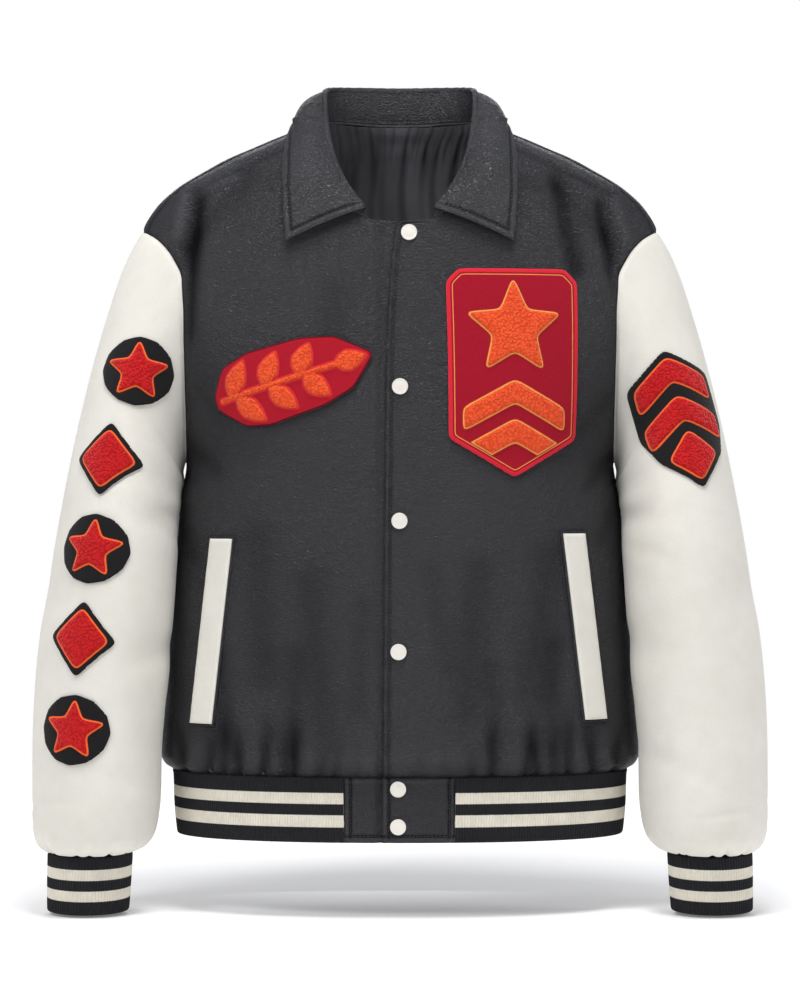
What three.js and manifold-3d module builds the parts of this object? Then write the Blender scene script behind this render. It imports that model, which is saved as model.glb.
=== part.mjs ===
// Varsity jacket: leather body and collar, felt sleeves, rib-knit hem and cuffs, snaps and sewn-on patches.
// Millimetres, +Z up, the front faces -Y and +X is the wearer's left. The jacket is filled out and hollow.
// The origin is the middle of the neck, level with the inner ends of the shoulder seams.

import * as THREE from "three";
import { mergeVertices } from "three/addons/utils/BufferGeometryUtils.js";
import Module from "manifold-3d";

const wasm = await Module();
wasm.setup();

// Driving dimensions
const SEAM_GAP = 0.36; // between the edges of two pieces sewn together
const LEATHER = 2.2; // wall of the body panels, facing included
const FELT = 2.4; // wall of the sleeves
const COLLAR_WALL = 2.4;
const RIB_WALL = 2.2; // plain wall under the raised ribs
const LINING_WALL = 1.2;

const WAIST_Z = -622; // seam between the body and the hem band
const HEM_Z = -683; // lower edge of the hem band
const NECK_FRONT_Z = -106; // middle of the front neckline
const NECK_BACK_Z = 4;
const SHOULDER_ANGLE = 75; // the shoulder seam lies just in front of the shoulder's ridge, which is at 90
const SHOULDER_NECK_Z = -1.5;

const ARMHOLE = { top: -108, bottom: -330 };

// Sections of the body by height: half width, depth before and behind the section's middle, the middle's Y,
// and how square the section is (2 is an ellipse)
const BODY = [
  { z: -700, width: 212, front: 109, back: 92, middle: 8, square: 2.3 },
  { z: -683, width: 213.5, front: 111, back: 94, middle: 8, square: 2.3 },
  { z: -654, width: 216, front: 112.8, back: 95.8, middle: 8, square: 2.3 },
  { z: -628, width: 216.9, front: 113.9, back: 96.9, middle: 8, square: 2.3 },
  { z: -622, width: 218.5, front: 115, back: 98, middle: 8, square: 2.3 },
  { z: -616, width: 225.5, front: 119.5, back: 102, middle: 8, square: 2.3 },
  { z: -606, width: 229.5, front: 123, back: 105, middle: 8, square: 2.3 },
  { z: -590, width: 229.5, front: 124.5, back: 106, middle: 8, square: 2.3 },
  { z: -560, width: 226.5, front: 125.5, back: 105, middle: 8, square: 2.3 },
  { z: -520, width: 223, front: 126, back: 103, middle: 8, square: 2.3 },
  { z: -480, width: 220, front: 127, back: 102, middle: 8, square: 2.3 },
  { z: -440, width: 217, front: 128, back: 102, middle: 8, square: 2.25 },
  { z: -400, width: 214, front: 128.5, back: 103, middle: 8, square: 2.2 },
  { z: -365, width: 211.5, front: 129, back: 104, middle: 8, square: 2.2 },
  { z: -345, width: 208, front: 129, back: 104, middle: 8, square: 2.2 },
  { z: -330, width: 206, front: 129, back: 104.5, middle: 8, square: 2.2 },
  { z: -300, width: 210, front: 128, back: 105.5, middle: 7.5, square: 2.25 },
  { z: -260, width: 219, front: 125.5, back: 107, middle: 6.5, square: 2.3 },
  { z: -220, width: 230, front: 120.5, back: 108, middle: 4.5, square: 2.3 },
  { z: -180, width: 241.5, front: 114.5, back: 108, middle: 3, square: 2.25 },
  { z: -145, width: 248.5, front: 108, back: 107.5, middle: 1.5, square: 2.2 },
  { z: -125, width: 250, front: 104.5, back: 107.5, middle: 0.5, square: 2.2 },
  { z: -108, width: 247, front: 101.5, back: 107, middle: 0, square: 2.2 },
  { z: -86, width: 234.5, front: 95, back: 105, middle: -1, square: 2.1 },
  { z: -67, width: 214.5, front: 87, back: 102.5, middle: -2, square: 2.05 },
  { z: -48, width: 183.5, front: 72.5, back: 99, middle: -2.5, square: 2 },
  { z: -38, width: 165, front: 62, back: 96.5, middle: -3, square: 2 },
  { z: -29, width: 144, front: 52, back: 94, middle: -3.5, square: 2 },
  { z: -20, width: 123, front: 41.5, back: 90.5, middle: -4, square: 2 },
  { z: -10, width: 98.5, front: 26, back: 86, middle: -4.5, square: 2 },
  { z: -4, width: 86.5, front: 13, back: 82.5, middle: -5, square: 2 },
  { z: 0, width: 79, front: 5, back: 80.5, middle: -5, square: 2 },
  { z: 6, width: 77, front: 4, back: 79.5, middle: -5, square: 2 },
];

// Armhole by the angle round its loop (0 at the shoulder's tip, 180 at the armpit): how far its edge stands
// away from the body's side, in degrees of the body's section
const ARMHOLE_EDGE = [
  { round: 0, front: 0, back: 0 },
  { round: 14, front: 14.4, back: 11 },
  { round: 28, front: 25.7, back: 20 },
  { round: 42, front: 32, back: 26 },
  { round: 56, front: 34.8, back: 29 },
  { round: 70, front: 34, back: 29.5 },
  { round: 90, front: 29.7, back: 27 },
  { round: 110, front: 23.9, back: 22.5 },
  { round: 130, front: 17.4, back: 17 },
  { round: 150, front: 10.8, back: 10.5 },
  { round: 165, front: 5.2, back: 5 },
  { round: 180, front: 0, back: 0 },
];

// Front neckline from the middle to the shoulder seam
const NECKLINE = [
  { z: -106, x: 13 },
  { z: -105, x: 24 },
  { z: -100, x: 38 },
  { z: -89, x: 51.5 },
  { z: -72, x: 63 },
  { z: -50, x: 71.5 },
  { z: -28, x: 76 },
  { z: -11, x: 78 },
  { z: -1.5, x: 78.6 },
];

// Edge of the lapped front by height
const PLACKET = [
  { z: -700, x: -16.5 },
  { z: -500, x: -15.5 },
  { z: -330, x: -14 },
  { z: -220, x: -12.5 },
  { z: -145, x: -8.5 },
  { z: -100, x: -2.5 },
];

// Sleeve from the armhole to the cuff: outer and inner side of each section, half depth, the middle's Y, and
// how much of the armhole's own shape is left
const SLEEVE = [
  { outX: 246.5, outZ: -108, inX: 206, inZ: -330, depth: 68, middle: 3, armhole: 1 },
  { outX: 258, outZ: -128, inX: 207.6, inZ: -334, depth: 70, middle: 2, armhole: 0.78 },
  { outX: 267.5, outZ: -150, inX: 208.6, inZ: -338, depth: 72.5, middle: 0, armhole: 0.56 },
  { outX: 282, outZ: -195, inX: 210, inZ: -344, depth: 75, middle: -4, armhole: 0.28 },
  { outX: 295.5, outZ: -245, inX: 211.2, inZ: -352, depth: 76, middle: -10, armhole: 0.08 },
  { outX: 307, outZ: -295, inX: 211.5, inZ: -362, depth: 76, middle: -16, armhole: 0 },
  { outX: 316.5, outZ: -345, inX: 210.6, inZ: -378, depth: 75, middle: -25, armhole: 0 },
  { outX: 325, outZ: -395, inX: 210.8, inZ: -406, depth: 73.5, middle: -33, armhole: 0 },
  { outX: 332, outZ: -440, inX: 213, inZ: -442, depth: 72, middle: -39, armhole: 0 },
  { outX: 338.5, outZ: -480, inX: 216, inZ: -480, depth: 71, middle: -43, armhole: 0 },
  { outX: 343, outZ: -520, inX: 219, inZ: -520, depth: 70, middle: -46, armhole: 0 },
  { outX: 345.5, outZ: -560, inX: 222.2, inZ: -560, depth: 69, middle: -48.5, armhole: 0 },
  { outX: 346.5, outZ: -600, inX: 225, inZ: -600, depth: 68, middle: -50.5, armhole: 0 },
  { outX: 346.5, outZ: -640, inX: 225.5, inZ: -640, depth: 67, middle: -52, armhole: 0 },
  { outX: 346.3, outZ: -662, inX: 227.5, inZ: -662, depth: 65, middle: -53, armhole: 0 },
  { outX: 345, outZ: -678, inX: 231, inZ: -678, depth: 61.5, middle: -53.5, armhole: 0 },
  { outX: 341, outZ: -689, inX: 238.5, inZ: -689, depth: 53, middle: -54, armhole: 0 },
  { outX: 332.9, outZ: -695.5, inX: 250.6, inZ: -695.5, depth: 38.5, middle: -54, armhole: 0 },
];
const SLEEVE_GATHER_FROM = 13; // the first section with gathers
const CUFF = {
  topX: 292,
  lowX: 294,
  width: 39.5,
  lowWidth: 38,
  depth: 36.6,
  middle: -54,
  top: -695.7,
  bottom: -750,
};
const CUFF_TILT = Math.tan(THREE.MathUtils.degToRad(3)); // the front of the cuff hangs lower

// Collar from its front end round to the back's middle: fold line, leaf's edge, and how far the leaf bows
const COLLAR = [
  { foldX: 30.7, foldY: -101, foldZ: -92.5, edgeX: 105.8, edgeY: -102.5, edgeZ: -123.5, bow: 3 },
  { foldX: 37.2, foldY: -96.5, foldZ: -84.5, edgeX: 108.2, edgeY: -98, edgeZ: -101, bow: 5 },
  { foldX: 49.6, foldY: -84, foldZ: -66, edgeX: 110, edgeY: -87.5, edgeZ: -76, bow: 8 },
  { foldX: 60.3, foldY: -62, foldZ: -40.6, edgeX: 110.3, edgeY: -65, edgeZ: -48, bow: 8 },
  { foldX: 67.6, foldY: -30, foldZ: -6.8, edgeX: 108.8, edgeY: -38, edgeZ: -26, bow: 8 },
  { foldX: 71, foldY: 0, foldZ: 20, edgeX: 105.5, edgeY: -13, edgeZ: -11, bow: 8 },
  { foldX: 71.5, foldY: 24, foldZ: 33, edgeX: 101, edgeY: 15, edgeZ: -6, bow: 8 },
  { foldX: 66, foldY: 44, foldZ: 37, edgeX: 92, edgeY: 42, edgeZ: -9, bow: 8 },
  { foldX: 52, foldY: 60, foldZ: 39, edgeX: 74, edgeY: 68, edgeZ: -13, bow: 8 },
  { foldX: 28, foldY: 70, foldZ: 40, edgeX: 40, edgeY: 88, edgeZ: -17, bow: 8 },
  { foldX: 0, foldY: 73, foldZ: 40, edgeX: 0, edgeY: 94, edgeZ: -18, bow: 8 },
];
const STAND_BELOW_FOLD = 5; // the seam of the stand and the leaf, hidden inside the fold
const ROLL_RADIUS = 2.9; // of the fold's outside
const LEAF_LIFT = 1.4; // of the leaf's underside off the body

// Large drape folds of the panels: a line from one end to the other, its half width and its depth (troughs
// are positive). The same folds lie on both halves of the jacket.
const FOLDS = [
  { side: "front", x0: 150, z0: -62, x1: 158, z1: -112, width: 13, depth: 3.2 },
  { side: "front", x0: 194, z0: -92, x1: 200, z1: -150, width: 9, depth: 3 },
  { side: "front", x0: 172, z0: -300, x1: 196, z1: -345, width: 13, depth: 2.6 },
  { side: "front", x0: 110, z0: -585, x1: 122, z1: -520, width: 15, depth: 2.4 },
  { side: "back", x0: 165, z0: -75, x1: 172, z1: -190, width: 14, depth: 3.2 },
  { side: "back", x0: 60, z0: -40, x1: 105, z1: -72, width: 16, depth: 2.4 },
  { side: "back", x0: 168, z0: -330, x1: 120, z1: -300, width: 15, depth: 3 },
  { side: "back", x0: 175, z0: -420, x1: 128, z1: -455, width: 17, depth: 3 },
  { side: "back", x0: 70, z0: -590, x1: 62, z1: -520, width: 16, depth: 2.6 },
];
// Soft troughs across the sleeves: section, angle round the sleeve, half widths along and round, and depth
const SLEEVE_FOLDS = [
  { at: 3.4, round: 100, along: 0.8, around: 26, depth: 3.4 },
  { at: 6.2, round: 150, along: 0.45, around: 34, depth: 3.4 },
  { at: 8.3, round: 35, along: 0.5, around: 30, depth: 2.6 },
  { at: 9.6, round: 155, along: 0.4, around: 36, depth: 3 },
  { at: 5.1, round: 245, along: 0.5, around: 36, depth: 3.6 },
  { at: 9.0, round: 235, along: 0.45, around: 34, depth: 3.4 },
  { at: 12.2, round: 290, along: 0.5, around: 30, depth: 2.8 },
];
const GATHER_DEPTH = 3.6;
const SLEEVE_GATHER_DEPTH = 2.9;
const GATHER_RISE = [0.1, 0.8, 1, 0.7, 0.35]; // share of that depth in the lowest rows of the body
const SLEEVE_GATHER_RISE = [0.3, 0.7, 1, 0.8, 0.35]; // and in the last sections of the sleeves

const BODY_ROWS = [-622, -618.5, -612.5, -603, -588, -566, -535, -498, -458, -420, -386, -357, -330];
const CENTRE_ROWS = [-291, -250, -209, -170, -136, NECK_FRONT_Z]; // the front's middle above the armpit
const ARM_ROWS = 12; // rows of each panel between the armpit and the shoulder seam
const GATHER_ROWS = 5; // the lowest rows carry gathers
const PANEL_COLUMNS = 12;
const GATHER_COLUMNS = 24;
const INNER_COLUMNS = 8;

// Ribs of the knitted bands
const RIB_HEIGHT = 0.9;
const HEM_RIBS = 200;
const CUFF_RIBS = 62;

// Leather tabs at the front of the hem, by their ends from the middle
const TABS = { leftEnd: 51, rightEnd: 52, gap: 0.9, rightSteps: [-52, -38, -24, -18.6, -3, 12] };

// Pocket welts by their middle line, and their raised wall
const WELTS = {
  welt_left: { topX: 162, topZ: -396, lowX: 183, lowZ: -570, width: 21, length: 175 },
  welt_right: { topX: -166.5, topZ: -401, lowX: -186, lowZ: -574, width: 21, length: 174 },
};
const WELT_ROWS = 5;
const WELT_GAP = 0.4;
const WELT_THICK = 2.2;

const SNAPS = [
  { name: "snap_neck", x: 8.4, z: -116.5 },
  { name: "snap_chest", x: 0, z: -260 },
  { name: "snap_middle", x: -0.5, z: -384 },
  { name: "snap_waist", x: -1.4, z: -505 },
  { name: "snap_hem_top", x: -1.8, z: -632.8 },
  { name: "snap_hem_low", x: -1.8, z: -668 },
];
const SNAP_GAP = 0.35;

const LINING_ROWS = [-190, -150, -112, -80, -52, -29, -12, 0];
const LINING_COLUMNS = 24;
const LINING_HALF_WIDTH = 76;
const LINING_FOLD = 2.6;

const PATCH_GAP = 1.15;
const PATCH_FELT = 1.5;
const PATCH_PILE = 2.6;
// Backing of the large chest patch: a shield with cut corners
const CHEST_SHIELD = [
  [-62, 84],
  [-50, 96],
  [50, 96],
  [62, 84],
  [62, -62],
  [0, -98],
  [-62, -62],
];
const COLUMN_ROUND = 74; // angle round the sleeve of the motifs that go down it

// Colours
const BLACK_LEATHER = { color: 0x2c2d31, roughness: 0.5, metalness: 0 };
const IVORY_FELT = { color: 0xe8e5dc, roughness: 0.95, metalness: 0 };
const BLACK_RIB = { color: 0x1e1e22, roughness: 0.9, metalness: 0 };
const SATIN = { color: 0x333336, roughness: 0.45, metalness: 0 };
const SNAP_CAP = { color: 0xebe6dc, roughness: 0.35, metalness: 0 };
const ORANGE_CHENILLE = { color: 0xf45c2d, roughness: 1, metalness: 0 };
const RED_CHENILLE = { color: 0xcd1c1e, roughness: 1, metalness: 0 };

const radians = THREE.MathUtils.degToRad;
const clamp = THREE.MathUtils.clamp;
const vector = (x, y, z) => new THREE.Vector3(x, y, z);
const lerp = (a, b, share) => a.clone().lerp(b, share);
const power = (value, exponent) => Math.sign(value) * Math.abs(value) ** exponent;

// Monotone cubic curve through a table's column
function curveOf(table, key, name) {
  const rows = [...table].sort((a, b) => a[key] - b[key]);
  const at = rows.map((row) => row[key]);
  const value = rows.map((row) => row[name]);
  const slope = at.slice(1).map((end, i) => (value[i + 1] - value[i]) / (end - at[i]));
  const tangent = value.map((_, i) => {
    if (i === 0) return slope[0];
    if (i === value.length - 1) return slope[i - 1];
    if (slope[i - 1] * slope[i] <= 0) return 0;
    return (2 * slope[i - 1] * slope[i]) / (slope[i - 1] + slope[i]);
  });
  return (x) => {
    const p = clamp(x, at[0], at[at.length - 1]);
    let i = 0;
    while (i < at.length - 2 && p > at[i + 1]) i += 1;
    const span = at[i + 1] - at[i];
    const t = (p - at[i]) / span;
    const t2 = t * t;
    const t3 = t2 * t;
    return (
      (2 * t3 - 3 * t2 + 1) * value[i] +
      (t3 - 2 * t2 + t) * span * tangent[i] +
      (3 * t2 - 2 * t3) * value[i + 1] +
      (t3 - t2) * span * tangent[i + 1]
    );
  };
}

function curvesOf(table, key) {
  const names = Object.keys(table[0]).filter((name) => name !== key);
  return Object.fromEntries(names.map((name) => [name, curveOf(table, key, name)]));
}

const body = curvesOf(BODY, "z");
const armholeEdge = curvesOf(ARMHOLE_EDGE, "round");
const placketX = curveOf(PLACKET, "z", "x");
const sleeveRows = SLEEVE.map((row, at) => ({ at, ...row }));
const sleeve = curvesOf(sleeveRows, "at");

// Distance from a fold's line, as a share of its half width, turned into a soft trough that fades at its ends
function foldDepth(side, x, z) {
  let depth = 0;
  for (const fold of FOLDS) {
    if (fold.side !== side) continue;
    const dx = fold.x1 - fold.x0;
    const dz = fold.z1 - fold.z0;
    const length = Math.hypot(dx, dz);
    const along = ((x - fold.x0) * dx + (z - fold.z0) * dz) / length;
    const across = ((x - fold.x0) * dz - (z - fold.z0) * dx) / length;
    const past = Math.max(0, -along, along - length) / (2 * fold.width);
    depth += fold.depth * Math.exp(-((across / fold.width) ** 2) - past * past * 4);
  }
  return depth;
}

// Point of the body's outside on the +X half. The angle runs from 0 in front over 90 at the side to 180
// behind.
function plainBody(angle, z) {
  const turn = radians(angle);
  const exponent = 2 / body.square(z);
  const depth = angle <= 90 ? body.front(z) : body.back(z);
  const x = body.width(z) * power(Math.sin(turn), exponent);
  const y = body.middle(z) - depth * power(Math.cos(turn), exponent);
  return vector(x, y, z);
}

function normalOf(surface, u, v, du, dv) {
  const alongU = surface(u + du, v).sub(surface(u - du, v));
  const alongV = surface(u, v + dv).sub(surface(u, v - dv));
  return alongU.cross(alongV).normalize();
}

const bodyNormal = (angle, z) => normalOf(plainBody, angle, z, 0.6, 1.2);

function bodyPoint(angle, z) {
  const point = plainBody(angle, z);
  const depth = foldDepth(angle < 90 ? "front" : "back", Math.abs(point.x), z);
  return point.addScaledVector(bodyNormal(angle, z), -depth);
}

// Angle of the body's section at which it reaches a distance from the middle
function angleAt(x, z) {
  const share = clamp(Math.abs(x) / body.width(z), 0, 1);
  return (Math.sign(x) * Math.asin(share ** (body.square(z) / 2)) * 180) / Math.PI;
}

// Armhole loop: 0 at the shoulder's tip, 0 to 180 in front, 180 to 360 behind
function armholeAt(round) {
  const middle = (ARMHOLE.top + ARMHOLE.bottom) / 2;
  const z = middle + (ARMHOLE.top - middle) * Math.cos(radians(round));
  const folded = ((round % 360) + 360) % 360;
  const angle = folded <= 180 ? 90 - armholeEdge.front(folded) : 90 + armholeEdge.back(360 - folded);
  return { angle, z };
}

const armholePoint = (round) => {
  const { angle, z } = armholeAt(round);
  return bodyPoint(angle, z);
};

// Point of a sleeve's outside: its section from the armhole to the cuff, and the angle round it
function sleeveEllipse(round, at) {
  const turn = radians(round);
  const outer = vector(sleeve.outX(at), 0, sleeve.outZ(at));
  const inner = vector(sleeve.inX(at), 0, sleeve.inZ(at));
  const point = lerp(outer, inner, (1 - Math.cos(turn)) / 2);
  point.y = sleeve.middle(at) - sleeve.depth(at) * Math.sin(turn);
  return point;
}

function plainSleeve(round, at) {
  const point = sleeveEllipse(round, at);
  const share = sleeve.armhole(clamp(at, 0, SLEEVE.length - 1));
  if (share > 0) point.addScaledVector(armholePoint(round).sub(sleeveEllipse(round, 0)), share);
  // The lower end follows the tilt of the cuff
  const tilt = THREE.MathUtils.smoothstep(at, SLEEVE_GATHER_FROM, SLEEVE.length - 1);
  point.z += tilt * CUFF_TILT * (point.y - CUFF.middle);
  return point;
}

const sleeveNormal = (round, at) => {
  const from = Math.max(at, 0.25);
  return normalOf(plainSleeve, round, Math.min(from, SLEEVE.length - 1.25), 1.5, 0.2);
};

function sleevePoint(round, at) {
  const folded = ((round % 360) + 360) % 360;
  let depth = 0;
  for (const fold of SLEEVE_FOLDS) {
    const along = (at - fold.at) / fold.along;
    const across = (folded - fold.round) / fold.around;
    depth += fold.depth * Math.exp(-(along ** 2) - across ** 2);
  }
  const shown = THREE.MathUtils.smoothstep(at, 0.5, 2.5);
  return plainSleeve(round, at).addScaledVector(sleeveNormal(round, at), -depth * shown);
}

// Direction in which both walls of the armhole seam get their thickness
const armholeInward = (round) => {
  const { angle, z } = armholeAt(round);
  return bodyNormal(angle, z).add(sleeveNormal(round, 0.4)).normalize().negate();
};

// Neckline of one half, from the front's middle (0) over the shoulder seam (1) to the middle of the back (2)
const neckRows = NECKLINE.map((row, at) => ({ at: at / (NECKLINE.length - 1), ...row }));
const neck = curvesOf(neckRows, "at");

function necklineAt(share) {
  if (share <= 1) {
    const z = neck.z(share);
    return { angle: Math.min(angleAt(neck.x(share), z), SHOULDER_ANGLE), z };
  }
  const behind = share - 1;
  const angle = SHOULDER_ANGLE + behind * (180 - SHOULDER_ANGLE);
  return { angle, z: SHOULDER_NECK_Z + (NECK_BACK_Z - SHOULDER_NECK_Z) * Math.min(1, behind * 1.6) };
}

const necklinePoint = (share) => {
  const { angle, z } = necklineAt(share);
  return bodyPoint(angle, z);
};

// Shares of the neckline at which the panels and the collar both have a point, from the front end back
const NECK_STEPS_FRONT = 6;
const NECK_STEPS_BACK = 5;
const NECK_STATIONS = [];
for (let i = 1; i <= NECK_STEPS_FRONT; i += 1) NECK_STATIONS.push(i / NECK_STEPS_FRONT);
for (let i = 1; i <= NECK_STEPS_BACK; i += 1) NECK_STATIONS.push(1 + i / NECK_STEPS_BACK);

// Directions of the collar at one of its stations: along the fold to the back, up the stand, and outwards
function collarFrame(station) {
  const row = COLLAR[station];
  const ahead = COLLAR[Math.min(station + 1, COLLAR.length - 1)];
  const behind = COLLAR[Math.max(station - 1, 0)];
  const foldOf = ({ foldX, foldY, foldZ }) => vector(foldX, foldY, foldZ);
  const isMiddle = station === COLLAR.length - 1;
  const along = isMiddle ? vector(-1, 0, 0) : foldOf(ahead).sub(foldOf(behind)).normalize();
  const { angle, z } = necklineAt(NECK_STATIONS[station]);
  const fold = foldOf(row);
  const rise = fold.clone().sub(bodyPoint(angle, z));
  rise.addScaledVector(along, -rise.dot(along)).normalize();
  const flat = bodyNormal(angle, z).cross(along).normalize();
  const upright = THREE.MathUtils.smoothstep(station, 1, 5);
  const up = flat.lerp(rise, upright).normalize();
  const out = vector(0, 0, 0).crossVectors(along, up).normalize();
  return { fold, along, up, out };
}

// Direction in which the walls of the neck seam get their thickness
function neckInward(share) {
  const { angle, z } = necklineAt(share);
  let nearest = 0;
  NECK_STATIONS.forEach((at, i) => {
    if (Math.abs(at - share) < Math.abs(NECK_STATIONS[nearest] - share)) nearest = i;
  });
  const inward = bodyNormal(angle, z).multiplyScalar(0.6).add(collarFrame(nearest).out).normalize().negate();
  return share < NECK_STATIONS[0] ? bodyNormal(angle, z).negate() : inward;
}

// Triangles between two lines of points that may have different counts
function stitch(triangles, lineA, lineB, closed) {
  const countA = closed ? lineA.length : lineA.length - 1;
  const countB = closed ? lineB.length : lineB.length - 1;
  let a = 0;
  let b = 0;
  while (a < countA || b < countB) {
    const nextA = lineA[(a + 1) % lineA.length];
    const nextB = lineB[(b + 1) % lineB.length];
    const stepA = b >= countB || (a < countA && (a + 1) / countA <= (b + 1) / countB + 1e-9);
    if (stepA) {
      triangles.push(lineA[a % lineA.length], nextA, lineB[b % lineB.length]);
      a += 1;
    } else {
      triangles.push(lineA[a % lineA.length], nextB, lineB[b % lineB.length]);
      b += 1;
    }
  }
}

function geometryOf(points, triangles) {
  let volume = 0;
  for (let i = 0; i < triangles.length; i += 3) {
    const [a, b, c] = [points[triangles[i]], points[triangles[i + 1]], points[triangles[i + 2]]];
    volume += a.dot(vector(0, 0, 0).crossVectors(b, c));
  }
  const index = [...triangles];
  if (volume < 0) {
    for (let i = 0; i < index.length; i += 3) [index[i + 1], index[i + 2]] = [index[i + 2], index[i + 1]];
  }
  const geometry = new THREE.BufferGeometry();
  const numbers = points.flatMap((p) => [p.x, p.y, p.z]);
  geometry.setAttribute("position", new THREE.Float32BufferAttribute(numbers, 3));
  geometry.setIndex(index);
  return geometry;
}

// Closed wall between an outside and an inside, each given as rows of points. Closed rows make a tube.
function wall(outer, inner, closed) {
  const points = [];
  const number = (rows) =>
    rows.map((row) =>
      row.map((point) => {
        points.push(point);
        return points.length - 1;
      }),
    );
  const outside = number(outer);
  const inside = number(inner);
  const triangles = [];
  outside.slice(1).forEach((row, i) => stitch(triangles, outside[i], row, closed));
  inside.slice(1).forEach((row, i) => stitch(triangles, row, inside[i], closed));
  stitch(triangles, inside[0], outside[0], closed);
  stitch(triangles, outside[outside.length - 1], inside[inside.length - 1], closed);
  if (!closed) {
    const first = (rows) => rows.map((row) => row[0]);
    const last = (rows) => rows.map((row) => row[row.length - 1]);
    stitch(triangles, first(outside), first(inside), false);
    stitch(triangles, last(inside), last(outside), false);
  }
  return geometryOf(points, triangles);
}

const mirrored = (rows) => rows.map((row) => row.map((point) => vector(-point.x, point.y, point.z)));

// Shares of a row's length at which its points lie evenly, worked out on a fine copy of the row
function evenly(pointAt, count) {
  const fine = 60;
  const lengths = [0];
  let before = pointAt(0);
  for (let i = 1; i <= fine; i += 1) {
    const point = pointAt(i / fine);
    lengths.push(lengths[i - 1] + point.distanceTo(before));
    before = point;
  }
  const shares = [];
  for (let i = 0; i <= count; i += 1) {
    const target = (lengths[fine] * i) / count;
    let k = 0;
    while (k < fine - 1 && lengths[k + 1] < target) k += 1;
    shares.push((k + (target - lengths[k]) / (lengths[k + 1] - lengths[k])) / fine);
  }
  return shares;
}

// Uneven but repeatable size of a gather, from 0.45 to 1
const uneven = (number) => 0.72 + 0.28 * Math.sin(number * 2.4 + 1.3) * Math.cos(number * 1.1);

// Grid of a panel's half in angle and height: rows from the waist up, shares from the middle line to the side
function panelPlaces(isBack, startAngle) {
  const middleAngle = isBack ? 180 : 0;
  const pit = BODY_ROWS[BODY_ROWS.length - 1];
  const evenShares = evenly((share) => bodyPoint(middleAngle + (90 - middleAngle) * share, pit), 24);
  const evenAngle = curveOf(evenShares.map((value, i) => ({ at: i / 24, value })), "at", "value");
  const rows = BODY_ROWS.map((z) => ({
    at: (share) => {
      const start = startAngle(z);
      return { angle: start + (90 - start) * share, z };
    },
  }));
  rows[rows.length - 1].round = 180;
  const neckSteps = isBack ? NECK_STEPS_BACK / PANEL_COLUMNS : 0;
  for (let row = 1; row <= ARM_ROWS; row += 1) {
    const round = isBack ? 180 + (194 * row) / ARM_ROWS : 180 - (166 * row) / ARM_ROWS;
    const outer = armholeAt(round);
    if (!isBack) {
      const overNeck = row - CENTRE_ROWS.length;
      const neckShare = overNeck > 0 ? overNeck / NECK_STEPS_FRONT : undefined;
      const centreZ = CENTRE_ROWS[row - 1];
      const inner = overNeck > 0 ? necklineAt(neckShare) : { angle: startAngle(centreZ), z: centreZ };
      const at = (share) => ({
        angle: inner.angle + (outer.angle - inner.angle) * share,
        z: inner.z + (outer.z - inner.z) * share,
      });
      rows.push({ at, round, startNeck: neckShare, isShoulder: row === ARM_ROWS });
      continue;
    }
    // The back's top edge runs along the neckline and then down the shoulder seam
    const v = row / ARM_ROWS;
    const tip = armholeAt(180 + 194);
    const topAt = (share) => {
      if (share <= neckSteps) return necklineAt(2 - share / neckSteps);
      const down = (share - neckSteps) / (1 - neckSteps);
      return {
        angle: SHOULDER_ANGLE + (tip.angle - SHOULDER_ANGLE) * down,
        z: SHOULDER_NECK_Z + (tip.z - SHOULDER_NECK_Z) * down,
      };
    };
    const at = (share) => {
      const top = topAt(share);
      const low = { angle: middleAngle + (90 - middleAngle) * evenAngle(share), z: pit };
      const middle = { angle: 180, z: pit + (NECK_BACK_Z - pit) * v };
      const blend = (name, corners) => {
        const below = (1 - share) * corners[0] + share * corners[1];
        const above = (1 - share) * corners[2] + share * corners[3];
        const edges = (1 - v) * low[name] + v * top[name] + (1 - share) * middle[name] + share * outer[name];
        return edges - (1 - v) * below - v * above;
      };
      return {
        angle: blend("angle", [180, 90, 180, tip.angle]),
        z: blend("z", [pit, pit, NECK_BACK_Z, tip.z]),
      };
    };
    rows.push({ at, round, isTop: row === ARM_ROWS });
  }
  return rows;
}

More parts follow.
